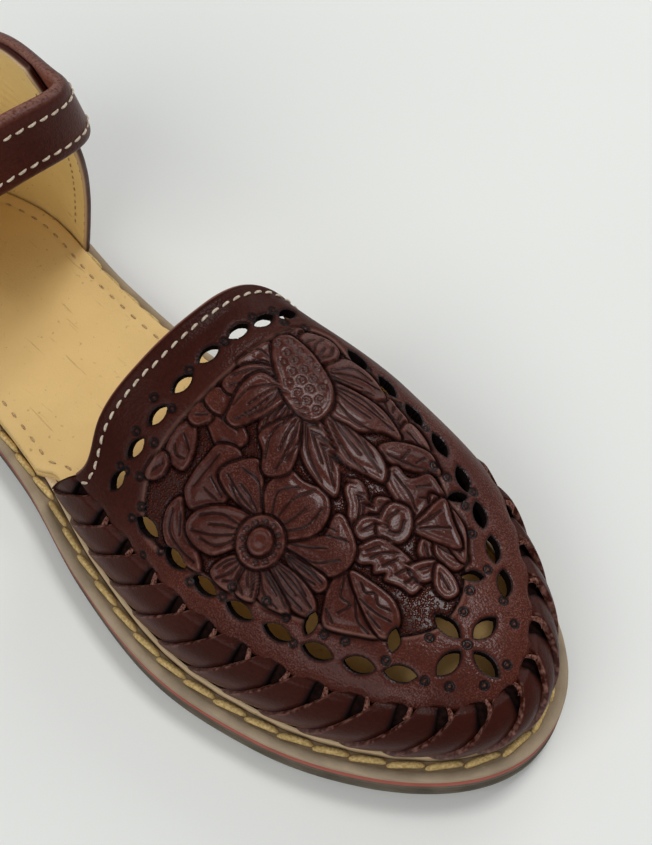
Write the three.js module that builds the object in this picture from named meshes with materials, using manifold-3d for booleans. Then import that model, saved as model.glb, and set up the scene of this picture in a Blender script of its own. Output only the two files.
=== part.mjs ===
// Huarache sandal for the right foot, closed toe, open waist, heel counter and ankle strap.
// Millimetres. +X runs to the toe, +Y to the inner side of the foot, +Z up, floor at z = 0.
import * as THREE from 'three';
import { mergeVertices } from 'three/addons/utils/BufferGeometryUtils.js';
import Module from 'manifold-3d';

const wasm = await Module();
wasm.setup();

// Driving sizes of the shoe
const soleLength = 262;
const ballWidth = 92;
const heelWidth = 63;
const soleHeight = 10.4;
const instepHeight = 58.5;
const counterHeight = 98;
const toeSwing = 4.7;
const toeSwingStart = 0.8;
const toeSpring = 5.5;
const toeSpringStart = 0.7;
const archLift = 1.8;

// Clearances between pieces
const fit = 0.3;
const layerGap = 0.25;

// Outline of the sole: share of the length from the heel, half widths as shares of the ball width
const soleRows = [
  { share: 0, outer: 0, inner: 0 },
  { share: 0.03, outer: 0.185, inner: 0.186 },
  { share: 0.08, outer: 0.272, inner: 0.268 },
  { share: 0.18, outer: 0.342, inner: 0.341 },
  { share: 0.3, outer: 0.35, inner: 0.311 },
  { share: 0.42, outer: 0.39, inner: 0.309 },
  { share: 0.55, outer: 0.48, inner: 0.359 },
  { share: 0.68, outer: 0.518, inner: 0.478 },
  { share: 0.8, outer: 0.453, inner: 0.509 },
  { share: 0.9, outer: 0.336, inner: 0.407 },
  { share: 0.96, outer: 0.22, inner: 0.275 },
  { share: 1, outer: 0, inner: 0 },
];

// Hollow under the waist: share of the arch lift
const archRows = [
  { share: 0, lift: 0 },
  { share: 0.32, lift: 0 },
  { share: 0.45, lift: 1 },
  { share: 0.58, lift: 0 },
  { share: 1, lift: 0 },
];

// Layers of the sole
const stripeBottom = 5.8;
const stripeHeight = 1.05;
const stripeInset = 0.05;
const outsoleTopInset = 0.1;
const outsoleTaper = 1.1;
const outsoleRound = 0.6;
const midsoleRound = 0.6;
const ribCount = 3;
const ribDepth = 0.4;
const ribPitch = 0.9;
const ribGroove = 0.45;
const ribFoot = 2.6;
const insoleHeight = 4.2;
const insoleRound = 0.6;
const insoleInset = 4.2;
const insoleInsetUnderUpper = 8.3;
const insoleNarrowing = 5;
const insoleNarrowingLead = 7;

// Leather upper: feather line, wall and ridge
const featherInset = 4.6;
const wall = 2.3;
const borderStep = 0.8;
const ridgeReach = 0.815;

// Ridge of the upper by share of the length: height as a share of the instep height,
// place to the side as a share of the ball width
const ridgeRows = [
  { share: 0.5, height: 1, side: 0.207 },
  { share: 0.61, height: 0.915, side: 0.179 },
  { share: 0.73, height: 0.795, side: 0.13 },
  { share: 0.84, height: 0.675, side: 0.076 },
  { share: 0.96, height: 0.59, side: 0.054 },
];

// Fullness of the upper's sides: power of the section's curve, less being fuller
const fullRows = [
  { share: 0.5, outer: 0.92, inner: 0.75 },
  { share: 0.61, outer: 1, inner: 0.6 },
  { share: 0.73, outer: 0.92, inner: 0.55 },
  { share: 0.84, outer: 0.78, inner: 0.58 },
  { share: 0.96, outer: 0.6, inner: 0.6 },
];

// Bulge of the upper's sides past that curve: share of the ball width
const bulgeRows = [
  { share: 0.5, outer: -0.029, inner: 0.163 },
  { share: 0.61, outer: -0.04, inner: 0.152 },
  { share: 0.73, outer: -0.017, inner: 0.105 },
  { share: 0.84, outer: 0.013, inner: 0.076 },
  { share: 0.96, outer: 0.033, inner: 0.033 },
];

// Throat edge: turn from foot to ridge, and its place as a share of the length from the middle
const throatRows = [
  { turn: 0, outer: -0.046, inner: 0.046 },
  { turn: 0.16, outer: -0.021, inner: 0.046 },
  { turn: 0.34, outer: 0.008, inner: 0.042 },
  { turn: 0.5, outer: -0.003, inner: 0.027 },
  { turn: 0.75, outer: -0.002, inner: 0.006 },
  { turn: 1, outer: 0, inner: 0 },
];

// Braided border of the upper
const borderHeight = 20.5;
const bandPitch = 11.1;
const bandLean = 20;
const bandLeanLost = 0.92;
const bandLeanFadeStart = 0.77;
const bandRaise = 1;
const bandTuck = -0.62;
const bandBuried = 1.7;
const bandOverlap = 0.7;
const bandFoot = 1.2;
const bandTopGap = 0.35;
const slotWidth = 3.6;
const slotHeight = 4.4;
const slotAhead = 1.4;
const slotTop = 0.4;
const slotBack = 0.8;

// Lens-shaped holes in chains: distance around as a share of the border's length,
// rise over the surface as a share of the instep height
const lensLength = 8.4;
const lensWidth = 4.6;
const lensTaper = 0.4;
const lensRows = [
  { from: 0.14, to: 0.424, rise: 0.482, riseEnd: 0.482, count: 8, across: false },
  { from: 0.658, to: 0.897, rise: 0.484, riseEnd: 0.706, count: 8, across: false },
  { from: 0.089, to: 0.089, rise: 0.53, riseEnd: 1.222, count: 5, across: true },
  { from: 0.992, to: 0.976, rise: 1.077, riseEnd: 0.812, count: 3, across: true },
  { from: 0.327, to: 0.411, rise: 0.579, riseEnd: 0.615, count: 2, across: true },
  { from: 0.666, to: 0.745, rise: 0.622, riseEnd: 0.632, count: 2, across: true },
];

// Cross of four lens-shaped holes on the toe
const crossAlong = 0.405;
const crossSide = 0.054;
const crossReach = 6.3;
const crossPetals = 4;

// Heel counter: height as a share of the counter height, leans inward as shares of the heel width,
// front edge as a share of the length from the heel
const counterWall = 2.3;
const counterInset = 1.6;
const counterRows = [
  { height: 0.1, lean: 0, heelLean: 0, front: 0.235 },
  { height: 0.255, lean: -0.016, heelLean: 0.003, front: 0.248 },
  { height: 0.41, lean: -0.024, heelLean: 0.013, front: 0.261 },
  { height: 0.56, lean: -0.011, heelLean: 0.03, front: 0.275 },
  { height: 0.69, lean: 0.017, heelLean: 0.05, front: 0.284 },
  { height: 0.82, lean: 0.049, heelLean: 0.07, front: 0.277 },
  { height: 0.92, lean: 0.078, heelLean: 0.083, front: 0.26 },
  { height: 1, lean: 0.1, heelLean: 0.09, front: 0.233 },
];

// Ankle strap: slanting ring outside the counter, its places as shares of the length from the heel
const strapWidth = 20;
const strapThick = 3.2;
const strapHeelHeight = 0.592;
const strapSlope = 0.27;
const strapHeelInset = 6;
const strapGap = 0.5;
const strapJoin = 0.2825;
const strapReachBottom = 9.5;
const strapReachTop = 6.5;
const strapRound = 0.78;
const strapStart = 0.18;
const strapEnd = 0.05;
const strapRiseFrom = 0.225;
const strapRiseTo = 0.191;
const strapLapGap = 0.6;
const counterBelowStrap = 1.2;

// Buckle on the outer side: wire frame round the lap, and its prong
const barRadius = 1;
const prongRadius = 0.85;
const frameFrontShare = 0.2385;
const frameLength = 13.6;
const frameRearOut = 1.4;
const frameCorner = 1.6;
const frameEase = 0.2;
const prongOverhang = 1.5;
const prongBed = 5.6;
const prongBend = 2.4;
const prongHoleLength = 8.5;
const prongHoleLead = 1.5;
const prongHoleEase = 0.15;

// Steps of the curved surfaces
const soleSteps = 27;
const insoleSteps = 30;
const stationSteps = 24;
const vampSteps = 6;
const borderSteps = 3;
const counterRowsCount = 8;
const counterColumns = 25;
const strapBackSteps = 32;
const strapFrontSteps = 20;
const frameSteps = 28;
const frameSides = 6;
const prongSteps = 9;
const prongSides = 8;

const quarter = Math.PI / 2;
const fullTurn = 2 * Math.PI;
const skyward = new THREE.Vector3(0, 0, 1);
const soleX = (share) => (share - 0.5) * soleLength;
const { lerp, smoothstep } = THREE.MathUtils;

// Smooth curve through a table's rows, for one named column
function smooth(keys, values) {
  const n = keys.length;
  const gap = keys.slice(1).map((k, i) => k - keys[i]);
  const rise = gap.map((g, i) => (values[i + 1] - values[i]) / g);
  const slope = new Array(n);
  for (let i = 1; i < n - 1; i++) {
    slope[i] = (rise[i - 1] * gap[i] + rise[i] * gap[i - 1]) / (gap[i] + gap[i - 1]);
  }
  slope[0] = rise[0] * 1.5 - slope[1] * 0.5;
  slope[n - 1] = rise[n - 2] * 1.5 - slope[n - 2] * 0.5;
  return (key) => {
    const k = Math.min(Math.max(key, keys[0]), keys[n - 1]);
    let i = 0;
    while (i < n - 2 && k > keys[i + 1]) i++;
    const t = (k - keys[i]) / gap[i];
    const u = 1 - t;
    const ends = u * u * (1 + 2 * t) * values[i] + t * t * (3 - 2 * t) * values[i + 1];
    return ends + gap[i] * t * u * (u * slope[i] - t * slope[i + 1]);
  };
}

function column(rows, key, name, place = (k) => k, size = 1) {
  return smooth(rows.map((r) => place(r[key])), rows.map((r) => r[name] * size));
}

// Outline of the sole in plan, by an angle that starts at the heel and turns over the outer side
const turnOfShare = (share) => Math.acos(1 - 2 * share);
const outerHalf = column(soleRows, 'share', 'outer', turnOfShare, ballWidth);
const innerHalf = column(soleRows, 'share', 'inner', turnOfShare, ballWidth);
const wrap = (angle) => ((angle % fullTurn) + fullTurn) % fullTurn;

function outline(angle) {
  const a = wrap(angle);
  const inner = a > Math.PI;
  const turn = inner ? fullTurn - a : a;
  const share = (1 - Math.cos(turn)) / 2;
  const swing = toeSwing * Math.max((share - toeSwingStart) / (1 - toeSwingStart), 0) ** 2;
  const half = inner ? innerHalf(turn) : -outerHalf(turn);
  return new THREE.Vector2(soleX(share), half + swing);
}

function outward(angle) {
  const step = 2e-3;
  const along = outline(angle + step).sub(outline(angle - step)).normalize();
  return new THREE.Vector2(along.y, -along.x);
}

const insetOutline = (angle, inset) => outline(angle).addScaledVector(outward(angle), -inset);

function spring(x) {
  const share = x / soleLength + 0.5;
  return toeSpring * Math.max((share - toeSpringStart) / (1 - toeSpringStart), 0) ** 2;
}

const archShape = column(archRows, 'share', 'lift', soleX, archLift);
const arch = (x) => Math.max(archShape(x), 0);

// Closed meshes from points and faces
const mergeDistance = 1e-4;

function joined(geometry) {
  geometry.deleteAttribute('normal');
  geometry.deleteAttribute('uv');
  return mergeVertices(geometry, mergeDistance);
}

function solidMesh(points, faces) {
  const geometry = new THREE.BufferGeometry();
  const flat = points.flatMap((p) => [p.x, p.y, p.z]);
  geometry.setAttribute('position', new THREE.Float32BufferAttribute(flat, 3));
  geometry.setIndex(faces.flat());
  const merged = mergeVertices(geometry, mergeDistance);
  const index = merged.index.array;
  const kept = [];
  for (let i = 0; i < index.length; i += 3) {
    const [a, b, c] = [index[i], index[i + 1], index[i + 2]];
    if (a !== b && b !== c && c !== a) kept.push(a, b, c);
  }
  merged.setIndex(kept);
  return merged;
}

function toManifold(geometry) {
  return new wasm.Manifold(new wasm.Mesh({
    numProp: 3,
    vertProperties: new Float32Array(geometry.attributes.position.array),
    triVerts: new Uint32Array(geometry.index.array),
  }));
}

function fromManifold(solid) {
  const mesh = solid.getMesh();
  const geometry = new THREE.BufferGeometry();
  geometry.setAttribute('position', new THREE.Float32BufferAttribute(mesh.vertProperties, 3));
  geometry.setIndex(Array.from(mesh.triVerts));
  return geometry;
}

// Faces of a grid of rows and columns, numbered row by row from the start index
function gridFaces(rows, columns, start, flip, closed = false) {
  const faces = [];
  const last = closed ? columns : columns - 1;
  for (let r = 0; r < rows - 1; r++) {
    for (let c = 0; c < last; c++) {
      const d = (c + 1) % columns;
      const a = start + r * columns + c;
      const b = start + r * columns + d;
      const e = start + (r + 1) * columns + c;
      const f = start + (r + 1) * columns + d;
      faces.push(...(flip ? [[a, e, b], [b, e, f]] : [[a, b, e], [b, f, e]]));
    }
  }
  return faces;
}

// A wall between an outer and an inner grid of equal size, its edges closed.
// A folded wall meets itself in its last column, which then needs no edge.
function wallMesh(outer, inner, folded = false) {
  const rows = outer.length;
  const columns = outer[0].length;
  const points = [...outer.flat(), ...inner.flat()];
  const start = rows * columns;
  const faces = [...gridFaces(rows, columns, 0, false), ...gridFaces(rows, columns, start, true)];
  const edge = (a, b) => faces.push([b, a, a + start], [b, a + start, b + start]);
  for (let c = 0; c < columns - 1; c++) {
    edge(c, c + 1);
    edge((rows - 1) * columns + c + 1, (rows - 1) * columns + c);
  }
  for (let r = 0; r < rows - 1; r++) {
    edge((r + 1) * columns, r * columns);
    if (!folded) edge(r * columns + columns - 1, (r + 1) * columns + columns - 1);
  }
  return solidMesh(points, faces);
}

// A layer of the sole: rings of the outline at rising levels, with flat strips across each end
function layerMesh(levels, sideSteps = soleSteps) {
  const count = 2 * sideSteps;
  const points = [];
  for (const level of levels) {
    for (let i = 0; i < count; i++) {
      const angle = (i * Math.PI) / sideSteps;
      const p = insetOutline(angle, level.inset(angle));
      points.push(new THREE.Vector3(p.x, p.y, level.height(p.x)));
    }
  }
  const faces = gridFaces(levels.length, count, 0, false, true);
  const cap = (start, flip) => {
    for (let i = 0; i < sideSteps; i++) {
      const a = start + i;
      const b = start + i + 1;
      const c = start + ((count - i) % count);
      const d = start + ((count - i - 1) % count);
      faces.push(...(flip ? [[a, c, b], [b, c, d]] : [[a, b, c], [b, d, c]]));
    }
  };
  cap(0, true);
  cap((levels.length - 1) * count, false);
  return solidMesh(points, faces);
}

const level = (z, inset) => ({ height: (x) => z + spring(x), inset: () => inset });
const upperBase = soleHeight + fit;

function outsoleMesh() {
  const taper = (z) => outsoleTaper * (1 - z / stripeBottom);
  const levels = [
    { height: (x) => spring(x) + arch(x), inset: () => outsoleTaper + outsoleRound },
    { height: (x) => outsoleRound + spring(x) + arch(x), inset: () => taper(outsoleRound) },
  ];
  for (let i = 0; i < ribCount; i++) {
    const z = ribFoot + i * ribPitch;
    const middle = z + ribGroove / 2;
    levels.push(level(z, taper(z)));
    levels.push(level(middle, taper(z) + ribDepth));
    levels.push(level(z + ribGroove, taper(z)));
  }
  levels.push(level(stripeBottom - layerGap, outsoleTopInset));
  return layerMesh(levels);
}

function stripeMesh() {
  const top = stripeBottom + stripeHeight;
  return layerMesh([level(stripeBottom, stripeInset), level(top, stripeInset)]);
}

function midsoleMesh() {
  const bottom = stripeBottom + stripeHeight + layerGap;
  const shoulder = soleHeight - midsoleRound;
  return layerMesh([level(bottom, 0), level(shoulder, 0), level(soleHeight, midsoleRound)]);
}

// Insole: full width in the open waist, narrower where the upper's wall stands beside it
function insoleMesh() {
  const inset = (angle) => {
    const p = outline(angle);
    const foot = throatRows[0][wrap(angle) > Math.PI ? 'inner' : 'outer'] * soleLength;
    const under = smoothstep(p.x, foot - insoleNarrowingLead, foot - insoleNarrowingLead + insoleNarrowing);
    return lerp(insoleInset, insoleInsetUnderUpper, under);
  };
  const ring = (z, extra) => ({
    height: (x) => z + spring(x),
    inset: (angle) => inset(angle) + extra,
  });
  const top = upperBase + insoleHeight;
  const rings = [ring(upperBase, 0), ring(top - insoleRound, 0), ring(top, insoleRound)];
  return layerMesh(rings, insoleSteps);
}

// Surface of the upper by angle around the sole and turn from the feather line up to the ridge
const ridgeHeight = column(ridgeRows, 'share', 'height', soleX, instepHeight);
const ridgeSide = column(ridgeRows, 'share', 'side', soleX, ballWidth);
const outerFull = column(fullRows, 'share', 'outer', soleX);
const innerFull = column(fullRows, 'share', 'inner', soleX);
const outerBulge = column(bulgeRows, 'share', 'outer', soleX, ballWidth);
const innerBulge = column(bulgeRows, 'share', 'inner', soleX, ballWidth);

function upperPoint(angle, turn) {
  const out = outward(angle);
  const foot = insetOutline(angle, featherInset);
  const inner = wrap(angle) > Math.PI;
  const bulge = (inner ? innerBulge : outerBulge)(foot.x) * Math.sin(2 * turn);
  const reach = Math.max(Math.cos(turn), 0) ** (inner ? innerFull : outerFull)(foot.x);
  const ridgeX = foot.x * ridgeReach;
  const side = ridgeSide(ridgeX);
  const x = ridgeX + (foot.x - ridgeX) * reach + out.x * bulge;
  const y = side + (foot.y - side) * reach + out.y * bulge;
  const base = upperBase + spring(foot.x);
  return new THREE.Vector3(x, y, base + (ridgeHeight(x) - base) * Math.sin(turn));
}

function upperNormal(angle, turn) {
  const step = 1e-3;
  const t = Math.min(Math.max(turn, step), quarter - step);
  const along = upperPoint(angle + step, turn).sub(upperPoint(angle - step, turn));
  const up = upperPoint(angle, t + step).sub(upperPoint(angle, t - step));
  return along.cross(up).normalize();
}

// Distances over the surface: around the feather line, and up from it
const firstAngle = 0.8;
const aroundSteps = 400;
const aroundTable = [{ angle: firstAngle, around: 0 }];
for (let i = 1; i <= aroundSteps; i++) {
  const angle = firstAngle + (i * (fullTurn - 2 * firstAngle)) / aroundSteps;
  const last = aroundTable[i - 1];
  const step = insetOutline(angle, featherInset).distanceTo(insetOutline(last.angle, featherInset));
  aroundTable.push({ angle, around: last.around + step });
}

function lookUp(rows, key, value, name) {
  let i = 0;
  while (i < rows.length - 2 && rows[i + 1][key] < value) i++;
  const t = (value - rows[i][key]) / (rows[i + 1][key] - rows[i][key]);
  return rows[i][name] + t * (rows[i + 1][name] - rows[i][name]);
}

const aroundAtAngle = (angle) => lookUp(aroundTable, 'angle', angle, 'around');

function riseTable(angle) {
  const steps = 32;
  const rows = [{ turn: 0, rise: 0 }];
  let last = upperPoint(angle, 0);
  for (let i = 1; i <= steps; i++) {
    const turn = (i * quarter) / steps;
    const next = upperPoint(angle, turn);
    rows.push({ turn, rise: rows[i - 1].rise + next.distanceTo(last) });
    last = next;
  }
  return rows;
}

const turnAtRise = (angle, rise) => lookUp(riseTable(angle), 'rise', rise, 'turn');

// Angle at which the throat edge crosses a given turn, on the outer or the inner side
const throatOuter = column(throatRows, 'turn', 'outer', (k) => k, soleLength);
const throatInner = column(throatRows, 'turn', 'inner', (k) => k, soleLength);

function throatAngle(inner, turn) {
  const place = (inner ? throatInner : throatOuter)(turn / quarter);
  let low = 1;
  let high = 2.2;
  for (let i = 0; i < 30; i++) {
    const mid = (low + high) / 2;
    const x = upperPoint(inner ? fullTurn - mid : mid, Math.min(turn, quarter - 1e-6)).x;
    if (x < place) low = mid;
    else high = mid;
  }
  return inner ? fullTurn - low : low;
}

const borderStart = aroundAtAngle(throatAngle(false, 0));
const borderEnd = aroundAtAngle(throatAngle(true, 0));
const angleAt = (around) => lookUp(aroundTable, 'around', around + borderStart, 'angle');
const borderLength = borderEnd - borderStart;

function offsetPoint(angle, turn, offset) {
  return upperPoint(angle, turn).addScaledVector(upperNormal(angle, turn), offset);
}

const atRise = (around, rise, offset) => {
  const angle = angleAt(around);
  return offsetPoint(angle, turnAtRise(angle, rise), offset);
};

// Plain wall of the upper, a step lower in the border than in the vamp
function upperWall() {
  const borderTop = borderHeight - bandTopGap;
  const halfRows = (inner) => {
    const rows = [];
    const rowAt = (turnOf, offset) => {
      const outer = [];
      const inside = [];
      for (let k = 0; k <= stationSteps; k++) {
        let turn = 0.2;
        let angle = 0;
        for (let pass = 0; pass < 3; pass++) {
          angle = lerp(throatAngle(inner, turn), Math.PI, k / stationSteps);
          turn = turnOf(angle);
        }
        outer.push(offsetPoint(angle, turn, offset));
        inside.push(offsetPoint(angle, turn, -wall));
        if (turn === 0) {
          outer[k].z = upperPoint(angle, 0).z;
          inside[k].z = outer[k].z;
        }
      }
      rows.push({ outer, inside });
    };
    for (let i = 0; i <= borderSteps; i++) {
      const rise = (borderTop * i) / borderSteps;
      rowAt((angle) => (i === 0 ? 0 : turnAtRise(angle, rise)), -borderStep);
    }
    for (let i = 0; i <= vampSteps; i++) {
      rowAt((angle) => lerp(turnAtRise(angle, borderHeight), quarter, i / vampSteps), 0);
    }
    return rows;
  };
  const outerRows = halfRows(false);
  const innerRows = halfRows(true).reverse().slice(1);
  const rows = [...outerRows, ...innerRows];
  return wallMesh(rows.map((r) => r.outer), rows.map((r) => r.inside), true);
}

// Leather bands of the border, each over the last one with its heel-side edge raised
const leanAt = (around) => {
  const fade = smoothstep(around, bandLeanFadeStart * borderLength, borderLength - bandPitch);
  return bandLean * (1 - bandLeanLost * fade);
};

function bandMesh(from) {
  const acrossShares = [0, 0.5, 1];
  const upShares = [0, 0.34, 0.67, 1];
  const place = (share, up) => {
    const foot = from + share * (bandPitch + bandOverlap);
    return foot + leanAt(foot) * up;
  };
  const rise = (up) => lerp(bandFoot, borderHeight - bandTopGap, up);
  const grid = (height) => upShares.map((up) => acrossShares.map((share) => (
    atRise(place(share, up), rise(up), height(share)))));
  return wallMesh(grid((share) => lerp(bandRaise, bandTuck, share)), grid(() => -bandBuried));
}

// Cutting prism on the surface, from an outline in the plane of two axes
const cutAbove = wall + fit;
const cutBelow = 2 * wall + fit;

function prismMesh(centre, right, up, out, corners, above, below) {
  const ring = (height) => corners.map(([a, b]) => centre.clone()
    .addScaledVector(right, a).addScaledVector(up, b).addScaledVector(out, height));
  const n = corners.length;
  const faces = gridFaces(2, n, 0, false, true);
  for (let i = 1; i < n - 1; i++) {
    faces.push([0, i + 1, i], [n, n + i, n + i + 1]);
  }
  return solidMesh([...ring(-below), ...ring(above)], faces);
}

function lensCorners() {
  const a = lensLength / 2;
  const b = lensWidth / 2;
  const c = a * lensTaper;
  return [[-a, 0], [-c, -b], [c, -b], [a, 0], [c, b], [-c, b]];
}

function surfaceFrame(around, rise) {
  const step = 0.5;
  const centre = atRise(around, rise, 0);
  const angle = angleAt(around);
  const out = upperNormal(angle, turnAtRise(angle, rise));
  const along = atRise(around + step, rise, 0).sub(atRise(around - step, rise, 0));
  const right = along.projectOnPlane(out).normalize();
  const up = out.clone().cross(right);
  return { centre, right, up, out };
}

function lensCuts() {
  const cuts = [];
  for (const row of lensRows) {
    for (let i = 0; i < row.count; i++) {
      const t = i / (row.count - 1);
      const around = lerp(row.from, row.to, t) * borderLength;
      const rise = lerp(row.rise, row.riseEnd, t) * instepHeight;
      const f = surfaceFrame(around, rise);
      const [right, up] = row.across ? [f.up, f.right.clone().negate()] : [f.right, f.up];
      cuts.push(prismMesh(f.centre, right, up, f.out, lensCorners(), cutAbove, cutBelow));
    }
  }
  const cross = new THREE.Vector3(crossAlong * soleLength, crossSide * ballWidth, 0);
  cross.z = ridgeHeight(cross.x);
  for (let i = 0; i < crossPetals; i++) {
    const angle = (i * fullTurn) / crossPetals;
    const right = new THREE.Vector3(Math.cos(angle), Math.sin(angle), 0);
    const up = skyward.clone().cross(right);
    const centre = cross.clone().addScaledVector(right, crossReach);
    cuts.push(prismMesh(centre, right, up, skyward, lensCorners(), 2 * cutAbove, 2 * cutBelow));
  }
  return cuts;
}

function slotCuts(starts) {
  const corners = [[0, -slotHeight], [slotWidth, slotTop], [-slotBack, slotTop]];
  return starts.map((from) => {
    const f = surfaceFrame(from + leanAt(from) + slotAhead, borderHeight);
    return prismMesh(f.centre, f.right, f.up, f.out, corners, cutAbove, cutBelow);
  });
}

function upperMesh() {
  const bandCount = Math.round((borderLength - bandOverlap) / bandPitch);
  const starts = Array.from({ length: bandCount }, (_, i) => i * bandPitch);
  let solid = toManifold(upperWall());
  for (const from of starts) {
    solid = solid.add(toManifold(bandMesh(from)));
  }
  for (const cut of [...slotCuts(starts), ...lensCuts()]) {
    solid = solid.subtract(toManifold(cut));
  }
  return fromManifold(solid);
}

// Heel counter standing between the insole and the sole's rim
const byHeight = (name, size) => column(counterRows, 'height', name, (k) => k * counterHeight, size);
const counterLean = byHeight('lean', heelWidth);
const counterHeelLean = byHeight('heelLean', heelWidth);
const counterFront = byHeight('front', 1);
const strapBottomAt = (x) => {
  const fromHeel = x + soleLength / 2 - strapHeelInset;
  return strapHeelHeight * counterHeight + strapSlope * fromHeel;
};

function counterPoint(angle, z, extra) {
  const behind = Math.cos(angle) ** 4;
  const lean = counterLean(z) + counterHeelLean(z) * behind;
  const p = insetOutline(angle, counterInset + lean + extra);
  return new THREE.Vector3(p.x, p.y, z);
}

function counterMesh() {
  const base = upperBase;
  const cell = (extra, side, up) => {
    let z = base;
    let angle = 0;
    for (let pass = 0; pass < 4; pass++) {
      angle = side * turnOfShare(counterFront(z));
      const top = strapBottomAt(outline(angle).x) + strapWidth - counterBelowStrap;
      z = lerp(base, top, up);
    }
    return counterPoint(angle, z, extra);
  };
  const grid = (extra) => Array.from({ length: counterRowsCount }, (_, r) => (
    Array.from({ length: counterColumns }, (__, c) => (
      cell(extra, (2 * c) / (counterColumns - 1) - 1, r / (counterRowsCount - 1))))));
  return wallMesh(grid(0), grid(counterWall));
}

// Path of the ankle strap's inner face, by distance round the ring from the outer side's join
function strapRing(height) {
  const reach = lerp(strapReachBottom, strapReachTop, height);
  const joinTurn = turnOfShare(strapJoin);
  const points = [];
  for (let i = 0; i <= strapBackSteps; i++) {
    const angle = joinTurn - (2 * joinTurn * i) / strapBackSteps;
    const z = strapBottomAt(outline(angle).x) + strapWidth * height;
    points.push(counterPoint(angle, z, -strapGap));
  }
  const inner = points[strapBackSteps];
  const outer = points[0];
  for (let i = 1; i < strapFrontSteps; i++) {
    const t = (i * Math.PI) / strapFrontSteps;
    const joinX = lerp(inner.x, outer.x, i / strapFrontSteps);
    const x = joinX + reach * Math.sin(t) ** strapRound;
    const y = (t < quarter ? inner.y : outer.y) * Math.abs(Math.cos(t)) ** strapRound;
    points.push(new THREE.Vector3(x, y, strapBottomAt(x) + strapWidth * height));
  }
  return points;
}

// The ring followed once round from the buckle and on over its own start
function strapPath(height) {
  const ring = strapRing(height);
  const middle = strapRing(0.5);
  const n = ring.length;
  const on = (i) => ring[((i % n) + n) % n];
  const start = middle.findIndex((p) => p.x < soleX(strapStart));
  const end = middle.findIndex((p) => p.x < soleX(strapEnd));
  const path = [];
  for (let i = start; i <= n + end; i++) {
    const out = on(i - 1).clone().sub(on(i + 1)).cross(skyward).normalize();
    const lap = i > n / 2 + start && on(i).y < 0;
    const lift = lap ? smoothstep(-on(i).x, -soleX(strapRiseFrom), -soleX(strapRiseTo)) : 0;
    path.push({ point: on(i), out, lift: lift * (strapThick + strapLapGap) });
  }
  return path;
}

function strapMesh() {
  const low = strapPath(0);
  const high = strapPath(1);
  const at = (step, offset) => step.point.clone().addScaledVector(step.out, step.lift + offset);
  const grid = (offset) => [high.map((step) => at(step, offset)), low.map((step) => at(step, offset))];
  const strap = toManifold(wallMesh(grid(strapThick), grid(0)));
  return fromManifold(strap.subtract(toManifold(prongHole())));
}

// Point beside the strap on the outer side: place along the shoe, share of the width, distance out
function besideStrap(x, share, out, above = 0) {
  const ring = strapRing(share);
  const i = ring.findIndex((p) => p.x < x);
  const t = (x - ring[i].x) / (ring[i - 1].x - ring[i].x);
  const point = ring[i].clone().lerp(ring[i - 1], t);
  const away = ring[i - 1].clone().sub(ring[i]).cross(skyward).normalize();
  return point.addScaledVector(away, out).addScaledVector(skyward, above);
}

const frameFront = soleX(frameFrontShare);
const frameRear = frameFront - frameLength;

function prongHole() {
  const mid = frameRear + prongBed + prongHoleLead - prongHoleLength / 2;
  const centre = besideStrap(mid, 0.5, 0);
  const right = besideStrap(mid + barRadius, 0.5, 0).sub(centre).normalize();
  const out = besideStrap(mid, 0.5, 1).sub(centre).normalize();
  const up = out.clone().cross(right).normalize();
  const a = prongHoleLength / 2;
  const b = prongRadius + fit + prongHoleEase;
  const corners = [[-a, -b], [a, -b], [a, b], [-a, b]];
  return prismMesh(centre, right, up, out, corners, 2 * strapThick + cutAbove, -frameRearOut);
}

// Wire frame: rear bar under the strap's turn, front bar over the lap
function frameMesh() {
  const clear = barRadius + fit;
  const past = clear + frameEase;
  const frontOut = strapThick + clear + frameEase;
  const rearTurnOut = frameRearOut + frameCorner / 2;
  const middle = (frameRear + frameFront) / 2;
  const middleOut = (frameRearOut + frontOut) / 2;
  const path = [
    besideStrap(frameRear, 0.5, frameRearOut),
    besideStrap(frameRear, 0.96, frameRearOut),
    besideStrap(frameRear + frameCorner, 1, rearTurnOut, past),
    besideStrap(middle, 1, middleOut, past),
    besideStrap(frameFront - frameCorner, 1, frontOut - frameEase, clear),
    besideStrap(frameFront, 0.94, frontOut),
    besideStrap(frameFront, 0.5, frontOut),
    besideStrap(frameFront, 0.06, frontOut),
    besideStrap(frameFront - frameCorner, 0, frontOut - frameEase, -clear),
    besideStrap(middle, 0, middleOut, -past),
    besideStrap(frameRear + frameCorner, 0, rearTurnOut, -past),
    besideStrap(frameRear, 0.04, frameRearOut),
  ];
  const curve = new THREE.CatmullRomCurve3(path, true, 'centripetal');
  return joined(new THREE.TubeGeometry(curve, frameSteps, barRadius, frameSides, true));
}

function prongMesh() {
  const rear = frameRearOut + barRadius + fit + prongRadius;
  const front = strapThick + 2 * barRadius + 3 * fit + prongRadius;
  const path = [
    besideStrap(frameRear, 0.5, rear),
    besideStrap(frameRear + prongBend, 0.5, rear + 2 * prongRadius),
    besideStrap(frameRear + prongBed, 0.5, front),
    besideStrap(frameFront, 0.5, front),
    besideStrap(frameFront + prongOverhang, 0.5, front),
  ];
  const curve = new THREE.CatmullRomCurve3(path, false, 'centripetal');
  const ring = new THREE.Path().absarc(0, 0, prongRadius, 0, fullTurn).getPoints(prongSides);
  const section = new THREE.Shape(ring.slice(0, prongSides));
  const settings = { steps: prongSteps, extrudePath: curve, bevelEnabled: false };
  return joined(new THREE.ExtrudeGeometry(section, settings));
}

// Assembly
const sandal = new THREE.Group();

function addPiece(name, geometry, color, roughness, metalness = 0) {
  geometry.computeVertexNormals();
  const material = new THREE.MeshStandardMaterial({ color, roughness, metalness });
  const mesh = new THREE.Mesh(geometry, material);
  mesh.name = name;
  sandal.add(mesh);
}

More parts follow.
